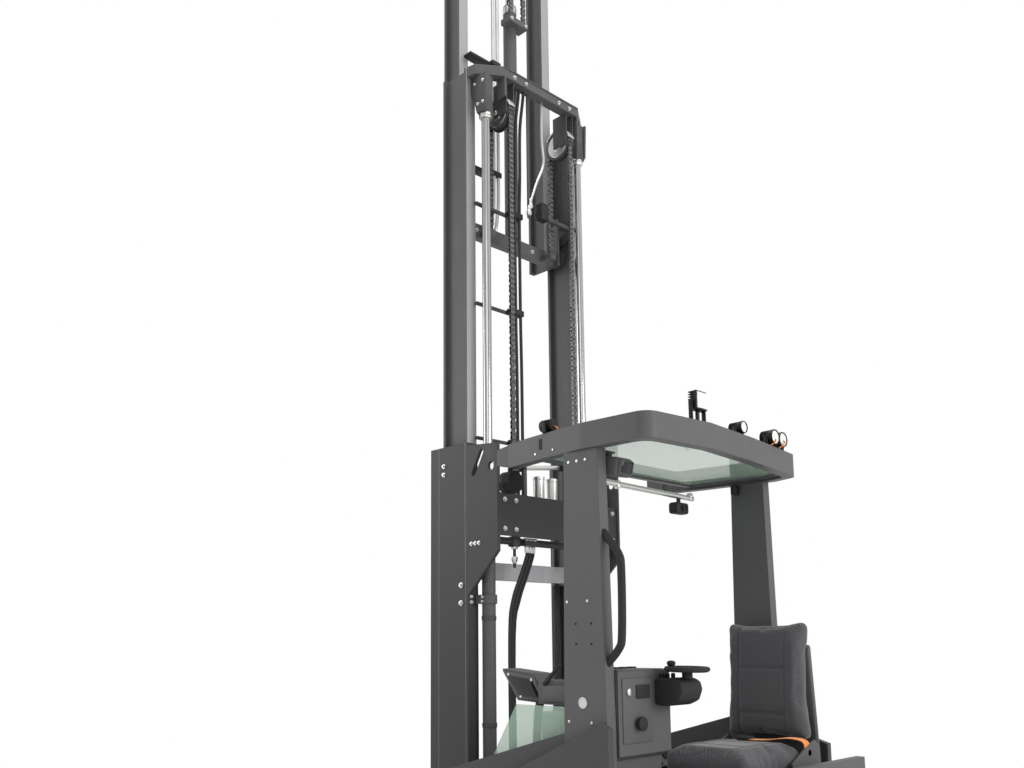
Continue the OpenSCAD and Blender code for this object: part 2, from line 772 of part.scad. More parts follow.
// Leaf chains: waisted plates in a row, and a half turn over each sheave
module sheave(d, w) {
  rim = 7;
  cheek = 4;
  bar_y(d - chain_h, 0, 0, [-w / 2, w / 2]);
  for (y = [-w / 2, w / 2 - cheek]) bar_y(d + 2 * rim, 0, 0, [y, y + cheek]);
}
module chain_wrap(d) {
  rotate([90, 0, 0]) translate([0, 0, -chain_w / 2]) difference() {
    cylinder(d = d + chain_h, h = chain_w);
    translate([0, 0, -over]) cylinder(d = d - chain_h, h = chain_w + 2 * over);
    translate([-d, -2 * d, -over]) cube([2 * d, 2 * d, chain_w + 2 * over]);
  }
}
module chain_run(x, y, z) {
  count = max(1, round((z[1] - z[0]) / chain_pitch));
  step = (z[1] - z[0]) / count;
  waist = chain_h / 4;
  rows = [for (i = [0 : count - 1]) each [[waist, z[0] + i * step], [chain_h / 2, z[0] + (i + 0.5) * step]]];
  side = concat(rows, [[waist, z[1]]]);
  across([y - chain_w / 2, y + chain_w / 2], concat([for (p = side) [x - p[0], p[1]]],
    [for (i = [len(side) - 1 : -1 : 0]) [x + side[i][0], side[i][1]]]));
}
module chain_sheaves() {
  pin = 28;
  hanger_t = 6;
  color(grey) both_sides() {
    translate([sheave_x, chain_y, sheave_z]) {
      sheave(sheave_d, sheave_w);
      chain_wrap(sheave_d);
      bar_y(pin, 0, 0, [-sheave_w / 2 - 10, sheave_w / 2 + 10]);
    }
    for (y = [chain_y - sheave_w / 2 - 3 - hanger_t, chain_y + sheave_w / 2 + 3])
      slab([collar_x + 15, sheave_x + 20], [y, y + hanger_t], [sheave_z - 20, mid_top - collar_h]);
  }
}
module lift_chains() {
  color(grey) both_sides() chain_run(chain_x, chain_y, [anchor_z, sheave_z]);
}
module anchor_chains() {
  color(grey) both_sides() chain_run(chain_x + sheave_d, chain_y, [inner_bottom + 30, sheave_z]);
}

// Inner stage
module inner_rails() {
  half = (inner_flange - inner_web) / 2;
  web_out = inner_y - half;
  stub_d = 46;
  mid_in = mid_y - (mid_flange + mid_web) / 2;
  window = mid_y - mid_flange;
  front = mid_x + mid_depth - rail_t - roller_d / 2 - bear_gap;
  rear = mid_x + rail_t + roller_d / 2 + bear_gap;
  color(charcoal) {
    both_sides() {
      rail(inner_x, inner_depth, inner_y, inner_flange, inner_web, [inner_bottom, inner_top], cheek_l);
      slab([inner_x - 75, inner_x + over], [web_out - inner_web, web_out],
        [inner_bottom, inner_bottom + cheek_l]);
      for (p = [[front, inner_bottom + low_roller], [rear, inner_bottom + high_roller]]) {
        bar_y(stub_d, p[0], p[1], [web_out - over, window + 4]);
        bar_y(roller_d, p[0], p[1], [window + 3, mid_in - 3]);
      }
      slab([chain_x + sheave_d - 14, inner_x - 40], [chain_y - 20, chain_y + 20],
        [inner_bottom, inner_bottom + 30]);
    }
    slab([inner_x - 45, inner_x - 5], [-web_out, web_out], [inner_bottom, free_bottom]);
    slab([inner_x - 20, inner_x + 7], [-web_out, web_out], [inner_top - 60, inner_top]);
  }
}
module free_lift_barrel() {
  strap_x = free_x - head_sheave_d / 2;
  strap_half = head_y + 20;
  color(charcoal) difference() {
    union() {
      bar_z(free_barrel_d, free_x, 0, [free_bottom, free_top]);
      slab([strap_x - 14, free_x], [-strap_half, strap_half], [strap_z - 30, strap_z]);
    }
    bar_z(free_rod_d + 6, free_x, 0, [free_bottom + 10, free_top - gland_h]);
    bar_z(free_rod_d + 2 * bear_gap, free_x, 0, [free_top - gland_h - over, free_top + over]);
  }
}
module free_lift_rod() {
  pin = 26;
  pin_end = head_y + sheave_w / 2 + over;
  color(steel) {
    bar_z(free_rod_d, free_x, 0, [free_bottom + 20 + free_lift, head_z + 10]);
    bar_y(pin, free_x, head_z, [-pin_end, pin_end]);
    both_sides() translate([free_x, head_y, head_z]) {
      sheave(head_sheave_d, sheave_w);
      chain_wrap(head_sheave_d);
    }
  }
}
module carriage_chain() {
  color(grey) both_sides() chain_run(free_x - head_sheave_d / 2, head_y, [strap_z, head_z]);
}
module lifting_chain() {
  color(grey) both_sides() chain_run(free_x + head_sheave_d / 2, head_y, [chain_bar_z + 30, head_z]);
}

// Carriage, tilting fork frame and forks
module carriage() {
  guide_d = 80;
  front = inner_x + inner_depth - rail_t - guide_d / 2 - bear_gap;
  rear = inner_x + rail_t + guide_d / 2 + bear_gap;
  cheek = [carriage_y - cheek_t, carriage_y];
  between = [-carriage_y + cheek_t - over, carriage_y - cheek_t + over];
  color(charcoal) {
    both_sides() {
      slab([inner_x + 20, tilt_x - 5], cheek, [fork_z + 110, tilt_z + 40]);
      slab([tilt_x - 6, tilt_x + 18], cheek, [tilt_z - 30, tilt_z + 30]);
      for (p = [[front, fork_z + 155], [rear, fork_z + 430]])
        bar_y(guide_d, p[0], p[1], [carriage_y - over, carriage_y + 23]);
      bar_y(pin_d, tilt_x, tilt_z, [carriage_y - 46, carriage_y - cheek_t + over]);
    }
    slab([inner_x + 17, inner_x + 90], between, [chain_bar_z, chain_bar_z + 30]);
    slab([inner_x + 45, inner_x + 90], between, [fork_z + 330, fork_z + 360]);
  }
}
module fork_frame() {
  half = carriage_w / 2;
  bar_h = 100;
  post = [120, 160];
  top = fork_z + backrest_h;
  grid = 30;
  grid_x = [face_x - 65, face_x - 45];
  ear = 40;
  color(charcoal) {
    for (z = [frame_z[0], frame_z[1] - bar_h]) slab(frame_x, [-half, half], [z, z + bar_h]);
    both_sides() {
      slab(frame_x, post, frame_z);
      difference() {
        slab([tilt_x - 32, frame_x[0] + over], [carriage_y - 42, carriage_y - 22],
          [tilt_z - ear, tilt_z + ear]);
        bar_y(pin_d + 2 * run_gap, tilt_x, tilt_z, [0, carriage_y]);
      }
    }
    for (i = [0 : 4]) let (y = -half + i * (2 * half - grid) / 4)
      slab(grid_x, [y, y + grid], [frame_z[1] - over, top]);
    slab(grid_x, [-half, half], [top - grid, top]);
  }
}
module forks() {
  taper = 250;
  tip_t = 14;
  blade_end = face_x + fork_l;
  color(charcoal) both_sides() translate([0, (fork_spread - fork_w) / 2, 0]) {
    slab([frame_x[1], face_x], [0, fork_w], [fork_z, fork_z + shank_h]);
    across([0, fork_w], [[face_x - over, fork_z], [face_x - over, fork_z + fork_t],
      [blade_end - taper, fork_z + fork_t], [blade_end, fork_z + tip_t], [blade_end, fork_z]]);
  }
}

chassis_frame();
reach_legs();
operator_floor();
seat_box();
rear_panel();
side_panels();
battery();
battery_covers();
pillars();
roof_frame();
roof_glass();
console();
display_unit();
connector_box();
side_screen();
armrest_pod();
seat_base();
seat_cushion();
seat_back();
grab_handle();
roof_lamps();
roof_monitor();
drive_motor();
drive_gearbox();
drive_hub();
drive_tyre();
load_hub_left();
load_tyre_left();
load_hub_right();
load_tyre_right();
reach_carriage();
outer_rails();
lift_barrels();
mast_hoses();
mid_rails();
lift_rods();
chain_sheaves();
lift_chains();
anchor_chains();
inner_rails();
free_lift_barrel();
free_lift_rod();
carriage_chain();
lifting_chain();
carriage();
fork_frame();
forks();
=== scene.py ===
"""Looks of a sit-on reach truck with a raised three-stage mast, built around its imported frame."""

import json
import math

import bmesh
import bpy
from bpy.props import FloatProperty, FloatVectorProperty, IntProperty, PointerProperty
from mathutils import Matrix, Vector


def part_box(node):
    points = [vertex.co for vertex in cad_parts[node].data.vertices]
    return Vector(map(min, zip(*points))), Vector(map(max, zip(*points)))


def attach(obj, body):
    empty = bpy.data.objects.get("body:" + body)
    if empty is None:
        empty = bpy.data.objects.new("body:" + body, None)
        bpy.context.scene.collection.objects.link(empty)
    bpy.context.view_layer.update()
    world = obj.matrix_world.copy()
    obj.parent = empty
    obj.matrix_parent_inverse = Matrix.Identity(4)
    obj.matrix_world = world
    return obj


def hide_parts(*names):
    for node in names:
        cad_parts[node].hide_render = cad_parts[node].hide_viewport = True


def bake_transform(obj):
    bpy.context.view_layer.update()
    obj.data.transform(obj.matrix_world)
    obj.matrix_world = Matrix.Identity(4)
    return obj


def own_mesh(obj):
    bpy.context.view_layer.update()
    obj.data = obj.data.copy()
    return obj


bl_info = {
    "name": "Reach Truck Looks",
    "version": (1, 0, 0),
    "blender": (4, 5, 0),
    "location": "3D View > Sidebar > Reach Truck",
    "description": "Finishes, lamps, chains, hoses, seat and studio for a packed reach truck",
    "category": "Object",
}

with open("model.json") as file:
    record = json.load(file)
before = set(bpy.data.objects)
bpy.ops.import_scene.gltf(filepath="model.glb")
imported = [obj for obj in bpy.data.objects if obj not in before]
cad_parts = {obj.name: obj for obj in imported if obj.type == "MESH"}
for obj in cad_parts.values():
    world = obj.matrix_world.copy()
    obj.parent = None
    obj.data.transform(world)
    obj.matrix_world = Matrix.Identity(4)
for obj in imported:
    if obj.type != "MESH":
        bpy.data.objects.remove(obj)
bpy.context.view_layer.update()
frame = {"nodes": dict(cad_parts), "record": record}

# The truck's right and left, and the directions of its frame
SIDES = (-1, 1)
AHEAD, BACK = (1, 0, 0), (-1, 0, 0)
LEFT, RIGHT = (0, 1, 0), (0, -1, 0)
UP, DOWN = (0, 0, 1), (0, 0, -1)


def low(node):
    """Lowest corner of a CAD node."""
    return Vector(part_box(node)[0])


def high(node):
    """Highest corner of a CAD node."""
    return Vector(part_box(node)[1])


def middle(node):
    """Centre of a CAD node's box."""
    return (low(node) + high(node)) / 2


# Node graphs, for materials and for Geometry Nodes

class Field:
    """A socket of a graph; arithmetic on it adds Math nodes."""

    def __init__(self, graph, socket):
        self.graph = graph
        self.socket = socket

    def math(self, operation, *values):
        return self.graph.value("ShaderNodeMath", {"operation": operation}, dict(enumerate(values)))

    def __add__(self, other):
        return self.math("ADD", self, other)

    def __sub__(self, other):
        return self.math("SUBTRACT", self, other)

    def __rsub__(self, other):
        return self.math("SUBTRACT", other, self)

    def __mul__(self, other):
        return self.math("MULTIPLY", self, other)

    def __truediv__(self, other):
        return self.math("DIVIDE", self, other)

    def __mod__(self, other):
        return self.math("FLOORED_MODULO", self, other)

    def __abs__(self):
        return self.math("ABSOLUTE", self)

    def __lt__(self, other):
        return self.math("LESS_THAN", self, other)

    def __gt__(self, other):
        return self.math("GREATER_THAN", self, other)

    __radd__ = __add__
    __rmul__ = __mul__

    def smooth(self, start, end):
        """0 before start, 1 after end, with a soft step between."""
        return self.graph.value("ShaderNodeMapRange", {"interpolation_type": "SMOOTHSTEP"},
                                {"Value": self, "From Min": start, "From Max": end})


class Graph:
    """A node tree under construction."""

    def __init__(self, tree):
        self.tree = tree

    def node(self, kind, settings=None, inputs=None):
        made = self.tree.nodes.new(kind)
        for key, setting in (settings or {}).items():
            setattr(made, key, setting)
        for key, given in (inputs or {}).items():
            self.feed(made.inputs[key], given)
        return made

    def feed(self, socket, given):
        for one in given if isinstance(given, list) else [given]:
            one = one.socket if isinstance(one, Field) else one
            if isinstance(one, bpy.types.NodeSocket):
                self.tree.links.new(one, socket)
            else:
                socket.default_value = one

    def value(self, kind, settings=None, inputs=None, output=0):
        """One output of a new node."""
        return Field(self, self.node(kind, settings, inputs).outputs[output])


class Finish(Graph):
    """A material with one principled surface, read in object coordinates."""

    def __init__(self, name):
        self.material = bpy.data.materials.new(name)
        self.material.use_nodes = True
        super().__init__(self.material.node_tree)
        self.tree.nodes.clear()
        self.place = self.value("ShaderNodeTexCoord", output="Object")

    def axes(self):
        split = self.node("ShaderNodeSeparateXYZ", None, {0: self.place})
        return [Field(self, split.outputs[i]) for i in range(3)]

    def noise(self, scale, detail=2.0, stretch=(1, 1, 1)):
        place = self.value("ShaderNodeMapping", None, {"Vector": self.place, "Scale": stretch})
        return self.value("ShaderNodeTexNoise", None,
                          {"Vector": place, "Scale": scale, "Detail": detail}, "Fac")

    def tint(self, factor, first, second):
        mixed = self.node("ShaderNodeMix", {"data_type": "RGBA"})
        self.feed(mixed.inputs["Factor"], factor)
        self.feed(mixed.inputs["A"], first)
        self.feed(mixed.inputs["B"], second)
        return mixed.outputs["Result"]

    def relief(self, height, depth, strength=1.0, edge=0.0):
        """Bump of a height field, over a softened edge where edge is a radius."""
        inputs = {"Height": height, "Distance": depth, "Strength": strength}
        if edge:
            inputs["Normal"] = self.value("ShaderNodeBevel", {"samples": 4}, {"Radius": edge})
        return self.value("ShaderNodeBump", None, inputs)

    def surface(self, **inputs):
        shader = self.node("ShaderNodeBsdfPrincipled")
        for key, given in inputs.items():
            self.feed(shader.inputs[key.replace("_", " ")], given)
        self.close(shader.outputs[0])
        return self.material

    def close(self, shader):
        self.node("ShaderNodeOutputMaterial", None, {"Surface": shader})


def rgba(colour, gain=1.0):
    return (*[min(1.0, c * gain) for c in colour[:3]], 1.0)


def satin_paint(name, colour, rough=0.45, edge=0.004, bright=()):
    """Satin paint with slight cloudiness, fine texture, scuffs and softened edges.

    Each entry of bright is two stations along X between which a narrow lighter, metallic stripe is painted: a
    painted highlight standing in for the bright line that light draws along a rail edge."""
    f = Finish(name)
    cloud = f.noise(2.3, 4.0)
    grain = f.noise(900.0, 1.0)
    scuff = f.noise(14.0, 6.0, (1, 1, 0.25)).smooth(0.6, 0.8)
    base = f.tint(scuff * 0.18, f.tint(cloud, rgba(colour, 0.88), rgba(colour, 1.12)), rgba(colour, 1.9))
    metal = 0.0
    # Painted highlight: between each pair of stations along X the colour turns lighter steel grey and
    # metallic, in place of the highlight lines on the rail edges
    for start, end in bright:
        along = f.axes()[0]
        streak = f.noise(40.0, 4.0, (1, 1, 0.02))
        painted_highlight_stripe = (along > start) * (along < end) * (0.55 + 0.45 * streak)
        base = f.tint(painted_highlight_stripe, base, rgba((0.4, 0.4, 0.41)))
        metal = painted_highlight_stripe * 0.8 + metal
    return f.surface(Base_Color=base, Roughness=rough + 0.12 * cloud - 0.05 * scuff, Metallic=metal,
                     Specular_IOR_Level=0.22, Normal=f.relief(grain, 0.0003, 0.35, edge))


def moulded_plastic(name, colour, rough=0.55, edge=0.004, pits=700.0):
    """Moulded plastic with a fine pebble grain."""
    f = Finish(name)
    cloud = f.noise(3.0, 3.0)
    pebble = f.value("ShaderNodeTexVoronoi", {"feature": "SMOOTH_F1"},
                     {"Vector": f.place, "Scale": pits}, "Distance")
    return f.surface(Base_Color=f.tint(cloud, rgba(colour, 0.9), rgba(colour, 1.1)),
                     Roughness=rough + 0.1 * cloud, Specular_IOR_Level=0.3,
                     Normal=f.relief(pebble, 0.0004, 0.4, edge))


def bare_metal(name, colour, rough=0.3, stretch=(1, 1, 1), edge=0.002):
    """Bare metal with fine drawn lines along the axis that is stretched least."""
    f = Finish(name)
    lines = f.noise(60.0, 5.0, stretch)
    stain = f.noise(5.0, 3.0)
    return f.surface(Base_Color=f.tint(stain, rgba(colour, 0.85), rgba(colour, 1.1)), Metallic=1.0,
                     Roughness=rough * 0.7 + rough * 0.6 * lines,
                     Normal=f.relief(lines, 0.0002, 0.3, edge))


def clear_pane(name, colour, cover):
    """Tinted clear sheet with a few faint smears."""
    f = Finish(name)
    smear = f.noise(4.0, 5.0)
    return f.surface(Base_Color=rgba(colour), Roughness=0.04 + 0.06 * smear, Alpha=cover, IOR=1.45)


def woven_fabric(name, colour):
    """Cloth with a herringbone weave."""
    f = Finish(name)
    x, y, z = f.axes()
    turn = abs(x * 90.0 % 2.0 - 1.0)
    rib = abs(((y + z) * 150.0 + turn * 1.6) % 1.0 - 0.5) * 2.0
    fibre = f.noise(1500.0, 2.0)
    base = f.tint(rib.smooth(0.25, 0.75), rgba(colour, 0.45), rgba(colour, 2.6))
    return f.surface(Base_Color=base, Roughness=0.8 + 0.15 * fibre, Sheen_Weight=0.25, Sheen_Roughness=0.5,
                     Normal=f.relief(rib * 0.7 + fibre * 0.3, 0.0008, 0.6))


def tread_rubber(name, colour, rough, gloss):
    """Solid tread with running marks around it and fine scratches."""
    f = Finish(name)
    marks = f.noise(30.0, 6.0, (1, 6, 1))
    spots = f.noise(9.0, 4.0)
    base = f.tint(spots.smooth(0.35, 0.75), rgba(colour, 0.8), rgba(colour, 1.25))
    return f.surface(Base_Color=base, Roughness=rough + gloss * marks,
                     Normal=f.relief(marks, 0.0006, 0.5, 0.002))


def ribbed_mat(name, colour):
    """Floor mat with raised round studs in a grid."""
    f = Finish(name)
    x, y, _ = f.axes()
    u = (x * 40.0) % 1.0 - 0.5
    v = (y * 40.0) % 1.0 - 0.5
    stud = 1.0 - (u * u + v * v).smooth(0.06, 0.11)
    dust = f.noise(6.0, 5.0)
    return f.surface(Base_Color=f.tint(dust * 0.5, rgba(colour), rgba(colour, 3.0)),
                     Roughness=0.6 + 0.25 * dust, Normal=f.relief(stud, 0.002, 0.9))


def finish(name):
    return bpy.data.materials[name]


# Meshes

def smooth_route(points, steps):
    """Points on a smooth curve through the given ones."""
    points = [Vector(p) for p in points]
    if len(points) < 3:
        return points
    route = []
    for i in range(len(points) - 1):
        a, b, c, d = points[max(i - 1, 0)], points[i], points[i + 1], points[min(i + 2, len(points) - 1)]
        for k in range(steps):
            t = k / steps
            route.append(0.5 * (2 * b + (c - a) * t + (2 * a - 5 * b + 4 * c - d) * t * t
                                + (3 * b - a - 3 * c + d) * t ** 3))
    return [*route, points[-1]]


def circle(radius, side, other, count):
    """Offsets of points round a circle in the plane of two directions."""
    angles = [2 * math.pi * i / count for i in range(count)]
    return [radius * (math.cos(a) * side + math.sin(a) * other) for a in angles]


class Shape:
    """A mesh under construction, in metres in the truck's frame."""

    def __init__(self):
        self.bm = bmesh.new()

    def block(self, start, end, round_off=0.003, turn=None, about=None, steps=2):
        """Box between two corners, its edges rounded, turned about a point."""
        start, end = Vector(start), Vector(end)
        size = end - start
        made = bmesh.ops.create_cube(self.bm, size=1.0)["verts"]
        bmesh.ops.scale(self.bm, vec=size, verts=made)
        bmesh.ops.translate(self.bm, vec=(start + end) / 2, verts=made)
        if turn is not None:
            centre = Vector(about) if about is not None else (start + end) / 2
            bmesh.ops.rotate(self.bm, cent=centre, matrix=turn, verts=made)
        reach = min(round_off, 0.45 * min(size))
        if reach > 0:
            self.soften(made, reach, steps)
        return self

    def centred(self, centre, half, round_off=0.003, turn=None, steps=2):
        """Box about its centre, given by half its size."""
        centre, half = Vector(centre), Vector(half)
        return self.block(centre - half, centre + half, round_off, turn, None, steps)

    def soften(self, verts, reach, steps=2):
        """Round off the edges between some vertices."""
        edges = list({e for v in verts for e in v.link_edges})
        bmesh.ops.bevel(self.bm, geom=edges, offset=reach, segments=steps, affect="EDGES", profile=0.5)

    def turned(self, profile, start, axis, segments=32, bore=False):
        """Solid of revolution, whose profile holds distance along the axis and radius.

        With bore it is a ring, open inside."""
        axis = Vector(axis).normalized()
        side = axis.orthogonal().normalized()
        other = axis.cross(side)
        rings = []
        for distance, radius in profile:
            centre = Vector(start) + axis * distance
            offsets = circle(radius, side, other, segments) if radius > 0 else [Vector()]
            rings.append([self.bm.verts.new(centre + offset) for offset in offsets])
        for first, second in zip(rings, rings[1:] + rings[:1] if bore else rings[1:]):
            for i in range(segments):
                j = (i + 1) % segments
                around = (first[i % len(first)], first[j % len(first)],
                          second[j % len(second)], second[i % len(second)])
                corners = list(dict.fromkeys(around))
                if len(corners) > 2:
                    self.bm.faces.new(corners)
        for ring in () if bore else (rings[0], rings[-1]):
            if len(ring) > 2:
                self.bm.faces.new(ring)
        return self

    def rod(self, start, end, radius, segments=20, edge=0.001):
        """Round bar with a small chamfer at both ends."""
        span = (Vector(end) - Vector(start)).length
        return self.turned([(0, radius - edge), (edge, radius), (span - edge, radius), (span, radius - edge)],
                           start, Vector(end) - Vector(start), segments)

    def swept(self, points, section, steps=6):
        """Solid along a smooth route through points; section gives its outline for a direction ahead."""
        route = smooth_route(points, steps)
        rings = []
        for i, centre in enumerate(route):
            ahead = (route[min(i + 1, len(route) - 1)] - route[max(i - 1, 0)]).normalized()
            rings.append([self.bm.verts.new(centre + offset) for offset in section(ahead)])
        for first, second in zip(rings, rings[1:]):
            for k in range(len(first)):
                m = (k + 1) % len(first)
                self.bm.faces.new([first[k], first[m], second[m], second[k]])
        self.bm.faces.new(rings[0])
        self.bm.faces.new(rings[-1])
        return self

    def tube(self, points, radius, sides=12):
        """Round bar along a smooth route through points."""
        side = None

        def section(ahead):
            nonlocal side
            side = ahead.orthogonal() if side is None else side - ahead * side.dot(ahead)
            side.normalize()
            return circle(radius, side, ahead.cross(side), sides)

        return self.swept(points, section)

    def ribbon(self, points, across, width, thick):
        """Flat band along a smooth route, as wide as width in the direction across."""
        side = Vector(across).normalized() * width / 2

        def section(ahead):
            face = ahead.cross(side).normalized() * thick / 2
            return side + face, face - side, -side - face, side - face

        return self.swept(points, section)

    def plate(self, outline, depth, round_off=0.0015):
        """Flat outline of points, thickened along a vector."""
        face = self.bm.faces.new([self.bm.verts.new(p) for p in outline])
        made = bmesh.ops.extrude_face_region(self.bm, geom=[face])["geom"]
        verts = [g for g in made if isinstance(g, bmesh.types.BMVert)]
        bmesh.ops.translate(self.bm, vec=Vector(depth), verts=verts)
        self.soften([*face.verts, *verts], round_off)
        return self

    def mesh(self, name, angle=35.0):
        """The finished mesh, smooth but for edges sharper than angle."""
        bmesh.ops.recalc_face_normals(self.bm, faces=self.bm.faces[:])
        mesh = bpy.data.meshes.new(name)
        self.bm.to_mesh(mesh)
        self.bm.free()
        mesh.shade_smooth()
        mesh.set_sharp_from_angle(angle=math.radians(angle))
        return mesh


# Pieces

def link(obj):
    bpy.context.scene.collection.objects.link(obj)
    return obj


def evaluated(obj):
    """Plain mesh of an object with its modifiers."""
    return bpy.data.meshes.new_from_object(obj.evaluated_get(bpy.context.evaluated_depsgraph_get()))


def place(name, shape, body, material=None, slot=None, replaces=()):
    """A shape, or a mesh that has its finish, as a piece that moves with a body."""
    mesh = shape.mesh(name) if isinstance(shape, Shape) else shape
    obj = link(bpy.data.objects.new(name, mesh))
    if material is not None:
        mesh.materials.clear()
        mesh.materials.append(finish(material))
    if body:
        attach(obj, body)
    if replaces:
        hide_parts(*replaces)
    return obj


# Geometry Nodes for what repeats

def grown(name, source, tree, inputs):
    """Plain mesh that a tree makes from a source mesh."""
    obj = link(bpy.data.objects.new(name, source))
    modifier = obj.modifiers.new(name, "NODES")
    modifier.node_group = tree
    for item in tree.interface.items_tree:
        if item.in_out == "INPUT" and item.name in inputs:
            modifier[item.identifier] = inputs[item.name]
    mesh = evaluated(obj)
    obj.modifiers.remove(modifier)
    bpy.data.objects.remove(obj)
    return mesh


def new_tree(name, sizes):
    """Geometry tree with named inputs for its sizes and its finish."""
    tree = bpy.data.node_groups.new(name, "GeometryNodeTree")
    tree.interface.new_socket("Geometry", in_out="INPUT", socket_type="NodeSocketGeometry")
    for label, default in sizes.items():
        tree.interface.new_socket(label, in_out="INPUT",
                                  socket_type="NodeSocketFloat").default_value = default
    tree.interface.new_socket("Finish", in_out="INPUT", socket_type="NodeSocketMaterial")
    tree.interface.new_socket("Geometry", in_out="OUTPUT", socket_type="NodeSocketGeometry")
    g = Graph(tree)
    return g, g.node("NodeGroupInput").outputs


def close_tree(g, given, geometry):
    solid = g.value("GeometryNodeRealizeInstances", None, {"Geometry": geometry})
    dressed = g.value("GeometryNodeSetMaterial", None, {"Geometry": solid, "Material": given["Finish"]})
    g.node("NodeGroupOutput", None, {"Geometry": dressed})
    return g.tree


def joined(g, parts):
    return g.value("GeometryNodeJoinGeometry", None, {0: parts})


def moved(g, mesh, shift=(0, 0, 0), turn=(0, 0, 0)):
    return g.value("GeometryNodeTransform", None, {"Geometry": mesh, "Translation": shift, "Rotation": turn})


def round_bar(g, sides, radius, depth):
    return g.value("GeometryNodeMeshCylinder", None, {"Vertices": sides, "Radius": radius, "Depth": depth})


def drum(g, sides, radius, depth, shift=0.0):
    return moved(g, round_bar(g, sides, radius, depth), (0, 0, shift))


def hex_bolt(g):
    """Washer, hexagon head and threaded end, for a head one unit in radius."""
    return [drum(g, 20, 1.35, 0.24, 0.12), drum(g, 6, 1.0, 0.75, 0.6), drum(g, 12, 0.55, 0.5, 1.1)]


def round_screw(g):
    """Flat round head with a socket, for a head one unit in radius."""
    return [drum(g, 20, 1.0, 0.36, 0.18), drum(g, 20, 0.82, 0.2, 0.42), drum(g, 6, 0.45, 0.06, 0.53)]


def round_fin(g):
    """Thin cooling ring, one unit in radius."""
    return [drum(g, 36, 1.0, 0.1)]


def cell_cap(g):
    """Filler cap of a battery cell, one unit in radius."""
    return [drum(g, 20, 1.0, 0.5, 0.25), drum(g, 16, 0.62, 0.5, 0.7), drum(g, 4, 0.3, 0.3, 1.05)]


def slat(g):
    """Flat bar, one unit long in Y."""
    bar = g.value("GeometryNodeMeshCube", None, {"Size": (0.09, 1.0, 0.05)})
    return [bar, moved(g, bar, (0.03, 0, -0.03), (0, 0.5, 0))]


def spots_tree(name, unit):
    """Tree that sets one small solid on every point, facing the point's own way."""
    g, given = new_tree(name, {"Gain": 1.0})
    facing = g.value("GeometryNodeInputNamedAttribute", {"data_type": "FLOAT_VECTOR"}, {"Name": "facing"})
    size = g.value("GeometryNodeInputNamedAttribute", {"data_type": "FLOAT"}, {"Name": "size"})
    turn = g.value("FunctionNodeAlignRotationToVector", {"axis": "Z"}, {"Vector": facing})
    made = g.value("GeometryNodeInstanceOnPoints", None, {
        "Points": given["Geometry"], "Instance": joined(g, unit(g)), "Rotation": turn,
        "Scale": size * given["Gain"]})
    return close_tree(g, given, made)


def spots(name, body, unit, rows, material="zinc", slot="bare_steel"):
    """Rows of place, facing and size, dressed with a small solid each."""
    source = bpy.data.meshes.new(name)
    source.from_pydata([r[0] for r in rows], [], [])
    facing = source.attributes.new("facing", "FLOAT_VECTOR", "POINT")
    facing.data.foreach_set("vector", [c for r in rows for c in r[1]])
    size = source.attributes.new("size", "FLOAT", "POINT")
    size.data.foreach_set("value", [r[2] for r in rows])
    tree = bpy.data.node_groups.get(unit.__name__) or spots_tree(unit.__name__, unit)
    mesh = grown(name, source, tree, {"Gain": 1.0, "Finish": finish(material)})
    return place(name, mesh, body, None, slot)


def chain_tree():
    """Tree that lays a leaf chain along a line.

    Plates lie four and three abreast in turn, with a pin at each joint."""
    g, given = new_tree("leaf_chain", {"Pitch": 0.03, "Width": 0.028, "Height": 0.018})
    pitch, width, height = (Field(g, given[k]) for k in ("Pitch", "Width", "Height"))
    thick = width / 7.0

    def vector(**parts):
        return g.value("ShaderNodeCombineXYZ", None, parts)

    def along_y(mesh, z):
        return moved(g, mesh, vector(Z=z), (math.pi / 2, 0, 0))

    line = g.value("GeometryNodeMeshToCurve", None, {0: given["Geometry"]})
    steps = g.value("GeometryNodeResampleCurve", {"mode": "LENGTH"}, {"Curve": line, "Length": pitch})
    turn = g.value("FunctionNodeAlignRotationToVector", {"axis": "Z"}, {
        "Vector": g.value("GeometryNodeInputTangent")})
    index = g.value("GeometryNodeInputIndex")
    eye = round_bar(g, 10, height / 2.0, thick)
    waist = g.value("GeometryNodeMeshCube", None, {"Size": vector(X=height * 0.72, Y=thick, Z=pitch)})
    leaf = joined(g, [along_y(eye, pitch * -0.5), along_y(eye, pitch * 0.5), waist])
    pin = along_y(round_bar(g, 10, height * 0.22, width), pitch * 0.5)
    parts = []
    for count, odd in ((4, 0.0), (3, 1.0)):
        row = g.value("GeometryNodeMeshLine", None, {
            "Count": count, "Start Location": vector(Y=thick * (1.0 - count)),
            "Offset": vector(Y=thick * 2.0)})
        stack = g.value("GeometryNodeInstanceOnPoints", None, {"Points": row, "Instance": leaf})
        parts.append(g.value("GeometryNodeInstanceOnPoints", None, {
            "Points": steps, "Selection": abs(index % 2.0 - odd) < 0.5,
            "Instance": joined(g, [stack, pin]), "Rotation": turn}))
    return close_tree(g, given, joined(g, parts))


def leaf_chain(name, lines, pitch, width, height):
    """Leaf chains along several lines of points, as one mesh."""
    tree = bpy.data.node_groups.get("leaf_chain") or chain_tree()
    source = bpy.data.meshes.new(name)
    points, edges = [], []
    for line in lines:
        edges += [(len(points) + i, len(points) + i + 1) for i in range(len(line) - 1)]
        points += line
    source.from_pydata(points, edges, [])
    return grown(name, source, tree, {
        "Pitch": pitch, "Width": width, "Height": height, "Finish": finish("oiled_chain")})


# Settings

def colour(name, description, default):
    """Colour setting, in linear light."""
    return FloatVectorProperty(name=name, description=description, subtype="COLOR",
                               size=3, min=0, max=1, default=default)


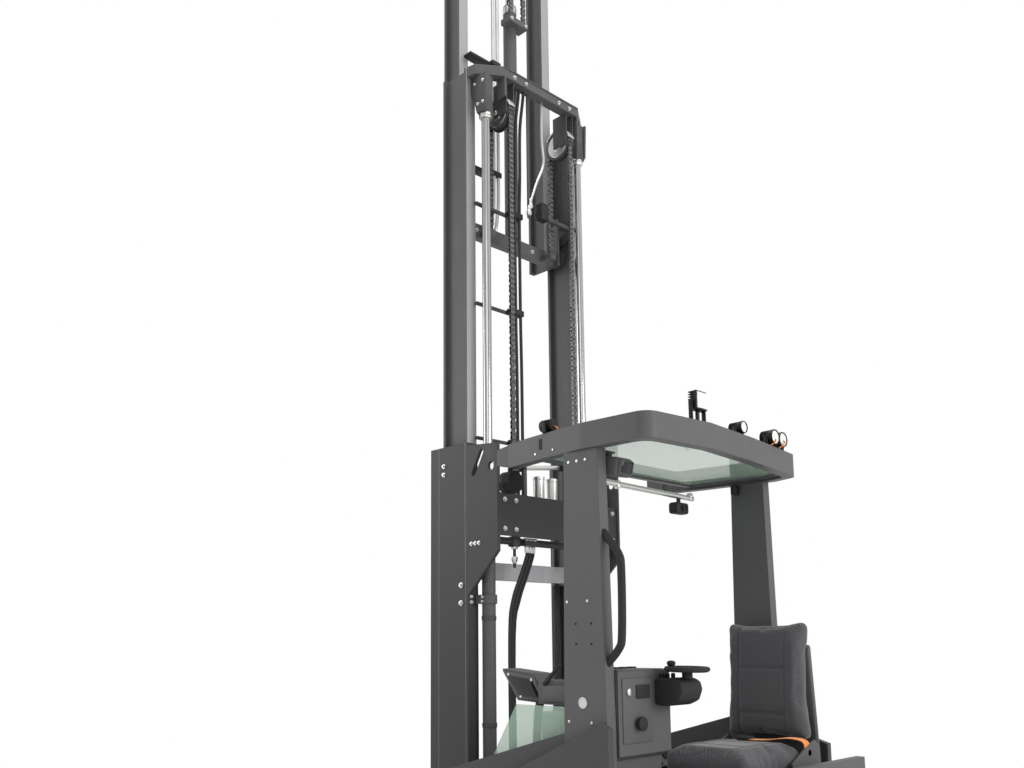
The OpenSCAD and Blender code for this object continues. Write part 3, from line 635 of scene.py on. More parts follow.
class TruckColours(bpy.types.PropertyGroup):
    """Colours of the truck, in linear light."""

    paint: colour("Paint", "Frame, guard and mast paint", (0.078, 0.078, 0.08))
    rail: colour("Outer rails", "Paint of the outer mast stage", (0.036, 0.036, 0.037))
    panel: colour("Panels", "Moulded body panels", (0.046, 0.046, 0.048))
    grey: colour("Grey plastic", "Console, display and seat base", (0.07, 0.07, 0.073))
    pale: colour("Pale plastic", "Connector box", (0.5, 0.5, 0.5))
    pane: colour("Pane", "Roof pane and side screen", (0.3, 0.42, 0.33))
    fabric: colour("Seat cloth", "Woven seat cover", (0.03, 0.03, 0.033))
    belt: colour("Belt", "Lap belt webbing and the sleeves of the lamp wires", (0.55, 0.13, 0.02))


class TruckSizes(bpy.types.PropertyGroup):
    """Sizes of the small fittings."""

    pitch: FloatProperty(name="Chain pitch", description="Length of one leaf of the lift chains",
                         unit="LENGTH", min=0.015, max=0.05, default=0.0254)
    bolt: FloatProperty(name="Bolt head", description="Radius of a mast bolt's head",
                        unit="LENGTH", min=0.004, max=0.02, default=0.0095)
    pipe: FloatProperty(name="Pipe radius", description="Radius of the pipe on the middle stage",
                        unit="LENGTH", min=0.003, max=0.012, default=0.0065)
    swell: FloatProperty(name="Cushion swell", description="Farthest that a seat pad bulges out",
                         unit="LENGTH", min=0.005, max=0.03, default=0.022)
    fins: IntProperty(name="Lamp fins", description="Cooling rings on a round lamp", min=2, max=12, default=5)


class StudioSettings(bpy.types.PropertyGroup):
    """Camera and light of the studio."""

    lens: FloatProperty(name="Lens", description="Focal length on a 36 mm sensor", subtype="DISTANCE_CAMERA",
                        min=10, max=200, default=33.44)
    shift: FloatProperty(name="Shift", description="Upward shift of the frame, as a share of its width",
                         min=0, max=0.5, default=0.125)
    fill: FloatProperty(name="Fill light", description="Strength of the even light from all round",
                        min=0, max=2, default=0.85)


# Operators

class TRUCK_OT_finishes(bpy.types.Operator):
    """Make the finishes and give every node of the frame its own"""

    bl_idname = "truck.finishes"
    bl_label = "Finishes"

    BY_SLOT = {
        "body_paint": "charcoal_paint", "mast_paint": "charcoal_paint", "panel_plastic": "panel_moulding",
        "grey_plastic": "grey_moulding", "black_plastic": "black_moulding", "light_plastic": "pale_moulding",
        "battery_case": "black_moulding", "clear_pane": "green_pane", "chrome_rod": "chrome",
        "bare_steel": "drawn_steel", "chain_steel": "oiled_chain", "cast_housing": "casting",
        "hose_rubber": "hose_rubber", "tyre_poly": "amber_tread", "drive_tread": "black_tread",
        "seat_fabric": "seat_cloth", "lamp_black": "black_aluminium"}
    BY_NODE = {
        "outer_rails": "outer_rail_paint", "mid_rails": "mid_rail_paint", "inner_rails": "inner_rail_paint",
        "operator_floor": "floor_mat", "grab_handle": "soft_black", "chain_sheaves": "casting"}

    def execute(self, context):
        c = context.scene.truck_colours
        satin_paint("charcoal_paint", c.paint)
        # The bright stations paint lighter, metallic stripes near the rail edges: painted highlights for the
        # bright lines along each stage
        satin_paint("outer_rail_paint", c.rail, bright=((0.1565, 0.1575), (-0.0275, -0.0265)))
        satin_paint("mid_rail_paint", c.paint, bright=((-0.022, -0.0195), (0.1495, 0.152)))
        satin_paint("inner_rail_paint", c.paint, bright=((0.104, 0.1065), (0.2215, 0.224)))
        satin_paint("casting", (0.06, 0.06, 0.062), 0.6)
        moulded_plastic("panel_moulding", c.panel)
        moulded_plastic("grey_moulding", c.grey)
        moulded_plastic("black_moulding", (0.012, 0.012, 0.013))
        moulded_plastic("pale_moulding", c.pale)
        moulded_plastic("soft_black", (0.016, 0.016, 0.017), 0.7, 0.003, 1200.0)
        moulded_plastic("hose_rubber", (0.012, 0.012, 0.012), 0.5)
        bare_metal("drawn_steel", (0.55, 0.55, 0.56), 0.32)
        bare_metal("zinc", (0.62, 0.62, 0.6), 0.36)
        bare_metal("chrome", (0.45, 0.45, 0.45), 0.12, (1, 1, 0.02))
        bare_metal("oiled_chain", (0.16, 0.155, 0.15), 0.42)
        bare_metal("black_aluminium", (0.03, 0.03, 0.031), 0.5)
        clear_pane("green_pane", c.pane, 0.5)
        clear_pane("lamp_lens", (0.75, 0.75, 0.72), 0.8)
        clear_pane("dark_glass", (0.006, 0.007, 0.008), 1.0)
        tread_rubber("amber_tread", (0.35, 0.13, 0.035), 0.35, 0.25)
        tread_rubber("black_tread", (0.016, 0.016, 0.016), 0.6, 0.25)
        woven_fabric("seat_cloth", c.fabric)
        woven_fabric("belt_webbing", c.belt)
        woven_fabric("wire_sleeve", c.belt)
        ribbed_mat("floor_mat", (0.016, 0.016, 0.016))
        for row in frame["record"]["subparts"]:
            mesh = frame["nodes"][row["node"]].data
            mesh.materials.clear()
            mesh.materials.append(finish(self.BY_NODE.get(row["node"], self.BY_SLOT[row["material_slot"]])))
        return {"FINISHED"}


class TRUCK_OT_lamps(bpy.types.Operator):
    """Build the work lamps on the overhead guard"""

    bl_idname = "truck.lamps"
    bl_label = "Work lamps"

    # Centre and radius of each round lamp; those behind REAR_ROW look back
    ROUND = ((-1.178, -0.035, 2.2225, 0.026), (-1.148, -0.330, 2.230, 0.034), (-1.142, -0.405, 2.230, 0.034),
             (-0.693, 0.568, 2.2225, 0.026), (-0.440, 0.535, 2.030, 0.047))
    REAR_ROW = -1.0
    # Distance along a round lamp, and share of its radius
    CASE = ((0, 0), (0, 0.6), (0.006, 0.72), (0.034, 0.78), (0.038, 0.98), (0.058, 1.0),
            (0.062, 0.94), (0.062, 0.88), (0.056, 0.86), (0.056, 0))
    LENS = ((0, 0), (0, 0.85), (0.003, 0.82), (0.006, 0))
    WIRE = 0.003

    def execute(self, context):
        fins = context.scene.truck_sizes.fins
        body, lens, rows = Shape(), Shape(), []
        for x, y, z, r in self.ROUND:
            way = -1 if x < self.REAR_ROW else 1
            for shape, profile, start in ((body, self.CASE, -0.031), (lens, self.LENS, 0.0245)):
                shape.turned([(d, share * r) for d, share in profile], (x + way * start, y, z), (way, 0, 0))
            stations = [0.032 * i / (fins - 1) - 0.028 for i in range(fins)]
            rows += [((x + way * station, y, z), AHEAD, 0.97 * r) for station in stations]
            self.bracket(body, x, y, z, r)
        self.square_lamp(body, lens)
        place("work_lamps", body, "chassis", "black_aluminium", "lamp_black", ["roof_lamps"])
        place("lamp_lenses", lens, "chassis", "lamp_lens", "clear_pane")
        spots("lamp_fins", "chassis", round_fin, rows, "black_aluminium", "lamp_black")
        wire = Shape()
        for y in (self.ROUND[1][1], self.ROUND[2][1]):
            wire.tube([(-1.172, y, 2.224), (-1.182, y + 0.006, 2.212), (-1.17, y + 0.018, 2.197),
                       (-1.15, y + 0.02, 2.189)], self.WIRE, 8)
        wire.tube([(-0.717, 0.568, 2.22), (-0.735, 0.564, 2.21), (-0.735, 0.562, 2.197),
                   (-0.722, 0.562, 2.188)], self.WIRE, 8)
        place("lamp_wires", wire, "chassis", "wire_sleeve", "hose_rubber")
        return {"FINISHED"}

    def bracket(self, body, x, y, z, r):
        """Foot, arms and stem of a lamp on top of the guard, or the stem of one that hangs below it."""
        top, below = high("roof_frame").z, low("roof_frame").z
        if z < top:
            body.rod((x, y, z + 0.7 * r), (x, y, below + 0.001), 0.011)
            return
        body.block((x - 0.013, y - 0.8 * r, top - 0.001), (x + 0.013, y + 0.8 * r, top + 0.004), 0.001)
        for s in SIDES:
            arm = y + s * r
            body.block((x - 0.01, arm - 0.002, top), (x + 0.01, arm + 0.002, z + 0.2 * r), 0.0008)
        body.rod((x, y, top), (x, y, z - 0.6 * r), 0.006)

    def square_lamp(self, body, lens):
        """Square lamp with cooling ribs, on a forked bracket at the guard's rear edge."""
        y, z, foot = 0.295, 2.27, high("roof_frame").z - 0.001
        for shape, rear, front, half, edge in (
                (body, -1.233, -1.218, 0.038, 0.007), (body, -1.222, -1.208, 0.027, 0.004),
                (lens, -1.2355, -1.23, 0.031, 0.002)):
            shape.block((rear, y - half, z - half), (front, y + half, z + half), edge)
        for i in range(8):
            rib = z - 0.0355 + 0.0095 * i
            body.block((-1.222, y - 0.037, rib), (-1.195, y + 0.037, rib + 0.0042), 0.0012)
        for arm in (y - 0.045, y + 0.039):
            body.block((-1.219, arm, foot), (-1.201, arm + 0.006, z + 0.002), 0.002)
        body.block((-1.219, y - 0.045, foot), (-1.201, y + 0.045, foot + 0.006), 0.002)
        body.rod((-1.21, y, foot + 0.001), (-1.21, y, z - 0.034), 0.008)


class TRUCK_OT_guard_fittings(bpy.types.Operator):
    """Build the monitor, the tube and the small fittings under the overhead guard"""

    bl_idname = "truck.guard_fittings"
    bl_label = "Guard fittings"

    TUBE_X = -0.818
    GUARD_SLOPE = 0.14

    def execute(self, context):
        self.monitor()
        self.tube_and_camera()
        self.pillar_fittings()
        return {"FINISHED"}

    def monitor(self):
        lo, hi, centre = low("roof_monitor"), high("roof_monitor"), middle("roof_monitor")
        tilt = Matrix.Rotation(math.radians(-12), 3, "Y")
        box = Shape()
        box.block(lo + Vector((0.02, 0.008, 0.006)), hi - Vector((0.012, 0.008, 0.022)), 0.012, tilt, steps=3)
        box.block(lo + Vector((0.006, 0.016, 0.014)), hi - Vector((0.104, 0.016, 0.03)), 0.006, tilt, centre)
        box.turned([(0, 0), (0.002, 0.012), (0.012, 0.017), (0.022, 0.012), (0.024, 0)],
                   (hi.x - 0.03, centre.y, hi.z - 0.02), UP, 20)
        box.block((hi.x - 0.045, lo.y + 0.03, hi.z - 0.002), (hi.x - 0.005, hi.y - 0.03, hi.z + 0.006), 0.002)
        place("cab_monitor", box, "chassis", "grey_moulding", "black_plastic", ["roof_monitor"])
        face = Shape().block(lo + Vector((0.002, 0.022, 0.02)), (lo.x + 0.009, hi.y - 0.022, hi.z - 0.036),
                             0.002, tilt, centre)
        place("monitor_glass", face, "chassis", "dark_glass", "black_plastic")

    def tube_and_camera(self):
        x = self.TUBE_X
        tube = Shape()
        tube.tube([(x, 0.557, 2.02), (x, 0.5, 2.008), (x, 0.3, 2.002), (x, -0.218, 1.992)], 0.012, 14)
        tube.turned([(0, 0.024), (0.004, 0.025), (0.008, 0.018), (0.008, 0)], (x, 0.5552, 2.02), RIGHT, 28)
        for y in (0.3, -0.2):
            tube.centred((x, y, 1.9995), (0.012, 0.008, 0.0165), 0.003)
        place("roof_tube", tube, "chassis", "zinc", "bare_steel")
        y, z = -0.115, 1.94
        drop = Shape()
        drop.centred((x, y, z), (0.025, 0.045, 0.025), 0.012, steps=3)
        drop.turned([(0, 0), (0, 0.017), (0.012, 0.016), (0.012, 0.011), (0.006, 0.01), (0.006, 0)],
                    (x - 0.025, y, z), BACK, 24)
        drop.centred((x, y, z + 0.039), (0.006, 0.009, 0.017), 0.003)
        drop.block((-0.85, -0.556, 2.04), (-0.825, -0.515, 2.085), 0.004)
        place("cab_camera", drop, "chassis", "black_moulding", "black_plastic")

    def pillar_fittings(self):
        face = high("pillars").y
        rows = [((x, y, 2.1642), UP, 0.006) for y in (0.45, -0.45) for x in (-0.605, -0.585)]
        rows += [((-0.63 - 0.11 * i, 0.58 + 0.0155 * i, 2.115), (self.GUARD_SLOPE, 1, 0), 0.005)
                 for i in range(2)]
        rows += [((-0.83 - 0.042 * i, face, 2.05), LEFT, 0.006) for i in range(3)]
        rows += [((x, face, z), LEFT, 0.0055)
                 for x, z in ((-0.81, 1.52), (-0.91, 1.52), (-0.81, 1.08), (-0.92, 1.08))]
        spots("guard_screws", "chassis", round_screw, rows)
        badge = Shape().turned([(0, 0.02), (0.002, 0.021), (0.003, 0.019), (0.003, 0.0165), (0.0015, 0.0155),
                                (0.0015, 0)], (-0.879, face, 1.15), LEFT, 32)
        place("pillar_badge", badge, "chassis", "pale_moulding", "light_plastic")
        slot = Shape().centred((-0.663, 0.5836, 2.15), (0.011, 0.0021, 0.022), 0.002,
                               Matrix.Rotation(-self.GUARD_SLOPE, 3, "Z"))
        place("guard_slot", slot, "chassis", "soft_black", "black_plastic")


class TRUCK_OT_chains(bpy.types.Operator):
    """Lay the leaf chains and dress their sheaves"""

    bl_idname = "truck.chains"
    bl_label = "Chains"

    WIDTH, HEIGHT = 0.026, 0.016
    LIFT_STROKE, FREE_STROKE = 1.6, 1.2
    SHEAVE, HEAD_SHEAVE = 0.07, 0.055

    def execute(self, context):
        pitch = context.scene.truck_sizes.pitch
        leaf = pitch / 2 + 0.0085
        chain, foot, head = self.strand("lift_leaves", "lift_chains", "outer_mast", pitch, leaf)
        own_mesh(chain)
        chain, foot, head = self.strand("carriage_leaves", "carriage_chain", "inner_mast", pitch, leaf)
        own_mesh(chain)
        chain, foot, head = self.strand("anchor_leaves", "anchor_chains", None, pitch, leaf)
        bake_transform(chain)
        chain, foot, head = self.strand("lifting_leaves", "lifting_chain", None, pitch, leaf)
        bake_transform(chain)
        for name, body, node, wheel, radius in (
                ("sheave_leaves", "middle_mast", "lift_chains", "chain_sheaves", self.SHEAVE),
                ("head_leaves", "free_rod", "carriage_chain", "free_lift_rod", self.HEAD_SHEAVE)):
            lead = math.atan2(leaf, radius) + 0.02
            sweep = [lead + (math.pi - 2 * lead) * i / 40 for i in range(41)]
            x, z = middle(wheel).x, high(node).z
            turns = [[(x - radius * math.cos(a), s * self.side(node), z + radius * math.sin(a))
                      for a in sweep] for s in SIDES]
            place(name, leaf_chain(name, turns, pitch * 0.9, 0.0275, 0.0175), body, None, "chain_steel")
        ring = Shape()
        x, z = middle("chain_sheaves").x, high("lift_chains").z
        for s in SIDES:
            for out in SIDES:
                ring.turned([(0, 0.064), (0.0025, 0.062), (0.003, 0.03), (0.006, 0.028), (0.0075, 0.016),
                             (0.0075, 0)],
                            (x, s * self.side("lift_chains") + out * 0.018, z), (0, out, 0), 40)
        place("sheave_faces", ring, "middle_mast", "drawn_steel", "bare_steel")
        return {"FINISHED"}

    def side(self, node):
        """Distance of a chain's middle from the truck's own."""
        return high(node).y - self.WIDTH / 2

    def strand(self, name, node, body, pitch, leaf):
        """Two straight runs in place of a node, with the node's lower and upper end.

        Each run stops a leaf short of the node's ends."""
        x, y, start, end = middle(node).x, self.side(node), low(node).z, high(node).z
        runs = [[(x, s * y, start + leaf), (x, s * y, end - leaf)] for s in SIDES]
        mesh = leaf_chain(name, runs, pitch, self.WIDTH, self.HEIGHT)
        chain = place(name, mesh, body, None, "chain_steel", [node])
        return chain, Vector((x, 0, start)), Vector((x, 0, end))


class TRUCK_OT_mast_fittings(bpy.types.Operator):
    """Build the brackets, clamps, pipes, hoses and bolts on the mast"""

    bl_idname = "truck.mast_fittings"
    bl_label = "Mast fittings"

    ROD_X, ROD_Y = -0.085, 0.33
    CHAIN_X, CHAIN_Y = -0.137, 0.216
    SHEAVE_X, SHEAVE_Z = -0.067, 3.95
    COUPLING_X = -0.118
    GUARD_ARC = [math.radians(35 + 12 * i) for i in range(12)]

    def execute(self, context):
        sizes = context.scene.truck_sizes
        self.outer(sizes)
        self.middle(sizes)
        self.inner()
        return {"FINISHED"}

    def outer(self, sizes):
        paint, bright, black = Shape(), Shape(), Shape()
        plate = high("outer_rails").y
        for s in SIDES:
            x, y = self.ROD_X, s * self.ROD_Y
            bright.turned([(0, 0.0225), (0, 0.0325), (0.004, 0.034), (0.03, 0.034), (0.034, 0.031),
                           (0.034, 0.0225)], (x, y, high("lift_barrels").z), UP, bore=True)
            for z in (0.62, 1.0, 1.47):
                paint.turned([(0, 0.0305), (0.002, 0.0335), (0.02, 0.0335), (0.022, 0.0305)], (x, y, z), UP,
                             bore=True)
            x, y = self.CHAIN_X, s * self.CHAIN_Y
            bright.turned([(0, 0.007), (0, 0.0135), (0.006, 0.0145), (0.016, 0.0145), (0.02, 0.012),
                           (0.03, 0.0085), (0.03, 0)], (x, y, 1.76), DOWN, 6)
            bright.turned([(0, 0.0155), (0.014, 0.0155), (0.014, 0.0075)], (x, y, 1.795), UP, 6)
            paint.centred((x, y, 1.829), (0.0185, 0.024, 0.023), 0.004)
        for i in range(3):
            x, y = -0.159 - 0.006 * i, 0.118 + 0.026 * i
            bright.turned([(0, 0.009), (0.004, 0.0115), (0.03, 0.0115), (0.034, 0.009)], (x, y, 1.778), UP, 6)
            bright.centred((-0.164, y, 1.8395), (0.014, 0.01, 0.0065), 0.002)
        bright.tube([(-0.2, 0.264, 2.158), (-0.2, 0.1, 2.178), (-0.2, -0.05, 2.197)], 0.011, 14)
        for y, z in ((0.235, 2.1615), (-0.03, 2.1945)):
            black.centred((-0.2095, y, z), (0.0235, 0.011, 0.017), 0.004)
            paint.block((-0.234, y - 0.009, 1.99), (-0.2225, y + 0.009, z - 0.01), 0.002)
        paint.block((-0.224, -0.06, 2.022), (-0.156, 0.2, 2.031), 0.002)
        for y in (0.103, 0.013):
            bright.turned([(0, 0.026), (0.09, 0.026), (0.092, 0.0275), (0.104, 0.0275), (0.106, 0.025),
                           (0.1, 0.02), (0.1, 0)], (-0.189, y, 2.03), UP, 28)
        place("outer_castings", paint, "outer_mast", "casting", "mast_paint")
        place("outer_bright", bright, "outer_mast", "zinc", "bare_steel")
        place("outer_blocks", black, "outer_mast", "black_moulding", "black_plastic")
        rows = []
        for s in SIDES:
            out = (0, s, 0)
            rows += [((0.0, s * plate, z), out, sizes.bolt) for z in (0.45, 0.53, 1.55, 1.63)]
            rows += [((0.12, s * plate, z), out, 0.008) for z in (2.15, 2.19)]
            rows += [((-0.07 - 0.025 * i, s * plate, 1.812), out, 0.007) for i in range(3)]
            rows += [((-0.085, s * 0.3715, 1.555 + 0.02 * i), BACK, 0.0055) for i in range(2)]
            rows += [((-0.045, s * 0.4, 1.552 + 0.026 * i), BACK, 0.007) for i in range(2)]
        rows += [((-0.235, y, z), BACK, 0.008) for y in (0.37, 0.3, -0.3, -0.37) for z in (1.87, 2.0)]
        spots("outer_bolts", "outer_mast", hex_bolt, rows)

    def middle(self, sizes):
        paint, bright, black, rubber = Shape(), Shape(), Shape(), Shape()
        bracket = [(-0.0205, 4.1), (-0.125, 4.1), (-0.118, 3.925), (-0.1, 3.905), (-0.06, 3.905),
                   (-0.045, 3.96), (-0.0205, 4.02)]
        for s in SIDES:
            x, y = self.ROD_X, s * self.ROD_Y
            paint.plate([(bx, s * 0.3545, bz) for bx, bz in bracket], (0, s * 0.012, 0), 0.002)
            paint.centred((x, y, 3.951), (0.0265, 0.0265, 0.049), 0.006)
            bright.turned([(0, 0.0213), (0, 0.03), (0.004, 0.032), (0.022, 0.032), (0.026, 0.029),
                           (0.026, 0.0213)], (x, y, 3.878), UP, 8, True)
            x, z = self.SHEAVE_X, self.SHEAVE_Z
            rim = [(x + r * math.cos(a), s * 0.1945, z + r * math.sin(a))
                   for r, arc in ((0.088, self.GUARD_ARC), (0.081, self.GUARD_ARC[::-1])) for a in arc]
            bright.plate(rim, (0, s * 0.043, 0), 0.0006)
            bright.turned([(0, 0.013), (0.008, 0.013), (0.01, 0.011), (0.01, 0)], (x, s * 0.2435, z),
                          (0, s, 0), 6)
        paint.block((-0.159, -0.267, 4.142), (-0.1, 0.267, 4.1505), 0.003)
        paint.block((-0.112, 0.058, 3.45), (-0.106, 0.074, 4.104), 0.001)
        x = self.COUPLING_X
        bright.tube([(x, -0.03, 4.105), (x, -0.026, 3.9), (x, -0.036, 3.77), (x, 0.02, 3.64),
                     (x, 0.062, 3.53)], sizes.pipe)
        for y, z in ((0.062, 3.5), (0.072, 3.46)):
            bright.turned([(0, 0.008), (0.004, 0.0125), (0.022, 0.0125), (0.024, 0.0095), (0.045, 0.0095),
                           (0.05, 0.007)], (x, y, z), UP, 6)
        for i, y in enumerate((0.141, 0.117, 0.088)):
            x = -0.06 - 0.003 * i
            rubber.tube([(x, y - 0.004, 1.92), (x, y - 0.004, 2.6), (x, y, 2.95), (x, y, 3.46),
                         (x - 0.02, y + 0.014, 3.66), (x - 0.03, y + 0.02, 3.9), (x - 0.05, y + 0.018, 4.05),
                         (x - 0.056, y + 0.018, 4.106)], 0.0078)
        for z in (1.91, 2.3, 2.95, 3.45):
            black.block((-0.076, 0.07, z), (-0.0365, 0.158, z + 0.03), 0.005)
            paint.block((-0.0385, 0.06, z + 0.008), (-0.02, 0.35, z + 0.022), 0.002)
        black.block((-0.08, -0.115, 3.5), (-0.0365, -0.06, 3.59), 0.006)
        paint.block((-0.0385, -0.35, 3.53), (-0.02, -0.06, 3.55), 0.002)
        place("middle_castings", paint, "middle_mast", "casting", "mast_paint")
        place("middle_bright", bright, "middle_mast", "zinc", "bare_steel")
        place("hose_clamps", black, "middle_mast", "black_moulding", "black_plastic")
        place("riser_hoses", rubber, "middle_mast", "hose_rubber", "hose_rubber")
        rows = [((-0.155, y, 4.12), BACK, 0.0075) for y in (-0.2, -0.12, 0.12, 0.2)]
        rows += [((-0.13, y, 4.1505), UP, 0.009) for y in (-0.23, 0.23)]
        corners = ((-0.105, 3.95), (-0.07, 3.95), (-0.105, 4.06), (-0.05, 4.06))
        rows += [((x, s * 0.3665, z), (0, s, 0), 0.006) for s in SIDES for x, z in corners]
        spots("middle_bolts", "middle_mast", hex_bolt, rows)

    def inner(self):
        bright, black = Shape(), Shape()
        for y in (0.12, 0.15):
            bright.tube([(0.08, y, 3.4), (0.06, y, 3.5), (0.05, y, 3.65), (0.05, y, 4.6), (0.05, y, 5.9),
                         (0.066, y - 0.01, 6.04), (0.092, y - 0.02, 6.11)], 0.009)
        for z in (3.7, 4.3, 4.9, 5.5):
            black.block((0.036, 0.105, z), (0.064, 0.165, z + 0.028), 0.005)
            black.block((0.055, 0.125, z + 0.006), (0.1115, 0.3, z + 0.02), 0.002)
        bright.turned([(0, 0.0345), (0, 0.036), (0.004, 0.0375), (0.03, 0.0375), (0.034, 0.036),
                       (0.034, 0.0345)], (middle("free_lift_rod").x, 0, 4.668), UP, bore=True)
        place("inner_pipes", bright, "inner_mast", "zinc", "bare_steel")
        place("inner_clamps", black, "inner_mast", "black_moulding", "black_plastic")
        rows = [((0.06, y, 3.385), BACK, 0.008) for y in (-0.26, -0.13, 0.19, 0.26)]
        rows += [((0.085, y, 6.12), BACK, 0.008) for y in (-0.2, 0.2)]
        rows += [((0.008, y, 4.595), BACK, 0.007) for y in (-0.052, 0.052)]
        spots("inner_bolts", "inner_mast", hex_bolt, rows)


class TRUCK_OT_cab(bpy.types.Operator):
    """Build the console, display, controls and pedals"""

    bl_idname = "truck.cab"
    bl_label = "Cab fittings"

    # Corners of the display's face and its middle, along X and Z
    FACE = ((-0.352, 1.2575), (-0.53, 1.236), (-0.594, 1.139), (-0.44, 1.146))
    FACE_MIDDLE = (-0.48, 1.194)
    WHEEL = 0.086

    def execute(self, context):
        bezel, glass, black, bright = Shape(), Shape(), Shape(), Shape()
        self.display(bezel, glass, black)
        self.console(bezel, black, bright)
        self.cables(black)
        place("console_panels", bezel, "chassis", "grey_moulding", "grey_plastic")
        place("display_glass", glass, "chassis", "dark_glass", "black_plastic")
        place("console_switches", black, "chassis", "soft_black", "black_plastic")
        place("console_key", bright, "chassis", "zinc", "bare_steel")
        self.connector()
        self.pod()
        self.pedals()
        return {"FINISHED"}

    def display(self, bezel, glass, black):
        side = high("display_unit").y
        bezel.plate([(x, side - 0.0205, z) for x, z in self.FACE], (0, 0.008, 0), 0.003)
        mid_x, mid_z = self.FACE_MIDDLE
        glass.plate([(mid_x + (x - mid_x) * 0.8, side - 0.013, mid_z + (z - mid_z) * 0.76)
                     for x, z in self.FACE], (0, 0.0022, 0), 0.001)
        bezel.block((-0.78, 0.412, 1.213), (-0.575, 0.522, 1.223), 0.004)
        bezel.block((-0.772, side - 0.0005, 1.14), (-0.6, side + 0.0065, 1.205), 0.004)
        lever = ((-0.69, 1.29), (-0.7, 1.282), (-0.612, 1.2), (-0.6, 1.21))
        black.plate([(x, side - 0.0005, z) for x, z in lever], (0, 0.012, 0), 0.003)

    def console(self, bezel, black, bright):
        lo, hi = low("console"), high("console")
        bezel.block((lo.x + 0.012, lo.y + 0.012, hi.z - 0.004),
                    (hi.x - 0.012, hi.y - 0.012, hi.z + 0.006), 0.005)
        bezel.block((lo.x - 0.005, 0.355, hi.z - 0.26), (lo.x + 0.004, 0.53, hi.z - 0.025), 0.006)
        for i in range(4):
            y = 0.28 + 0.05 * i
            black.block((hi.x - 0.09, y, hi.z + 0.004), (hi.x - 0.06, y + 0.03, hi.z + 0.012), 0.003)
        black.block((lo.x - 0.01, 0.375, hi.z - 0.1), (lo.x - 0.004, 0.455, hi.z - 0.05), 0.003)
        panel = lo.x - 0.0045
        bright.turned([(0, 0.014), (0.006, 0.014), (0.008, 0.011), (0.008, 0)],
                      (panel, 0.495, hi.z - 0.075), BACK, 24)
        black.turned([(0, 0.02), (0.014, 0.026), (0.022, 0.026), (0.026, 0.02), (0.026, 0)],
                     (panel, 0.44, hi.z - 0.19), BACK, 28)

    def cables(self, black):
        """Two cables from the connector and the display down to the battery."""
        lo, end = low("connector_box"), high("battery").z - 0.002
        black.tube([(lo.x + 0.02, 0.5, lo.z + 0.004), (lo.x + 0.012, 0.505, lo.z - 0.05),
                    (lo.x - 0.012, 0.49, lo.z - 0.1), (lo.x - 0.02, 0.47, end)], 0.006, 10)
        black.tube([(-0.56, 0.5, 1.135), (-0.562, 0.515, 1.08), (-0.56, 0.52, 0.95), (-0.562, 0.515, end)],
                   0.017, 14)

    def connector(self):
        lo, hi = low("connector_box"), high("connector_box")
        pale = Shape()
        pale.block(lo, (hi.x, hi.y - 0.008, hi.z), 0.008, steps=3)
        pale.block((lo.x + 0.006, hi.y - 0.012, lo.z + 0.006),
                   (hi.x - 0.006, hi.y - 0.003, hi.z - 0.006), 0.005, steps=3)
        pale.block((lo.x + 0.03, hi.y - 0.004, lo.z + 0.035),
                   (hi.x - 0.03, hi.y - 0.0012, hi.z - 0.035), 0.001)
        place("connector_case", pale, "chassis", "pale_moulding", "light_plastic", ["connector_box"])
        corners = ((-0.39, 1.242), (-0.52, 1.222), (-0.57, 1.149), (-0.46, 1.155))
        rows = [((x, high("display_unit").y - 0.013, z), LEFT, 0.006) for x, z in corners]
        rows += [((x, hi.y - 0.003, z), LEFT, 0.0035)
                 for x in (lo.x + 0.016, hi.x - 0.016) for z in (lo.z + 0.016, hi.z - 0.016)]
        spots("display_screws", "chassis", round_screw, rows)

    def pod(self):
        pod = Shape()
        outline = [(-1.0, 1.132), (-1.0, 1.232), (-1.09, 1.235), (-1.122, 1.222), (-1.13, 1.19),
                   (-1.115, 1.15), (-1.07, 1.131)]
        pod.plate([(x, 0.202, z) for x, z in outline], (0, 0.136, 0), 0.012)
        hub = Vector((-1.105, 0.27, 1.265))
        pod.rod(hub - Vector((0, 0, 0.035)), hub, 0.02)
        disc = [(-0.009, 0), (-0.01, 0.5), (-0.009, 0.88), (-0.004, 0.98), (0.003, 1.0), (0.009, 0.96),
                (0.011, 0.9), (0.009, 0.8), (0.004, 0.7), (0.003, 0.32), (0.008, 0.26), (0.009, 0)]
        pod.turned([(d, share * self.WHEEL) for d, share in disc], hub, (-0.03, 0, 1), 48)
        pod.turned([(0, 0.009), (0.008, 0.01), (0.014, 0.016), (0.022, 0.017), (0.028, 0.012), (0.03, 0)],
                   hub + Vector((0.05, 0.03, 0.004)), UP, 24)
        for i in range(3):
            y = 0.22 + 0.036 * i
            pod.block((-1.017, y, 1.23), (-1.004, y + 0.018, 1.25), 0.005, steps=3)
        place("control_pod", pod, "chassis", "soft_black", "black_plastic", ["armrest_pod"])

    def pedals(self):
        pedal = Shape()
        tilt = Matrix.Rotation(math.radians(-24), 3, "X")
        y, z = 0.53, 0.437
        for x, half in ((-1.0, 0.04), (-1.09, 0.04), (-1.25, 0.06)):
            pedal.centred((x, y, z), (half, 0.06, 0.007), 0.005, tilt)
            for i in range(5):
                rib = y - 0.048 + 0.021 * i
                pedal.block((x - half + 0.006, rib, z + 0.006), (x + half - 0.006, rib + 0.008, z + 0.012),
                            0.002, tilt, (x, y, z))
            pedal.rod((x, y, high("operator_floor").z - 0.001), (x, y, z + 0.003), 0.012)
        place("pedals", pedal, "chassis", "soft_black", "black_plastic")


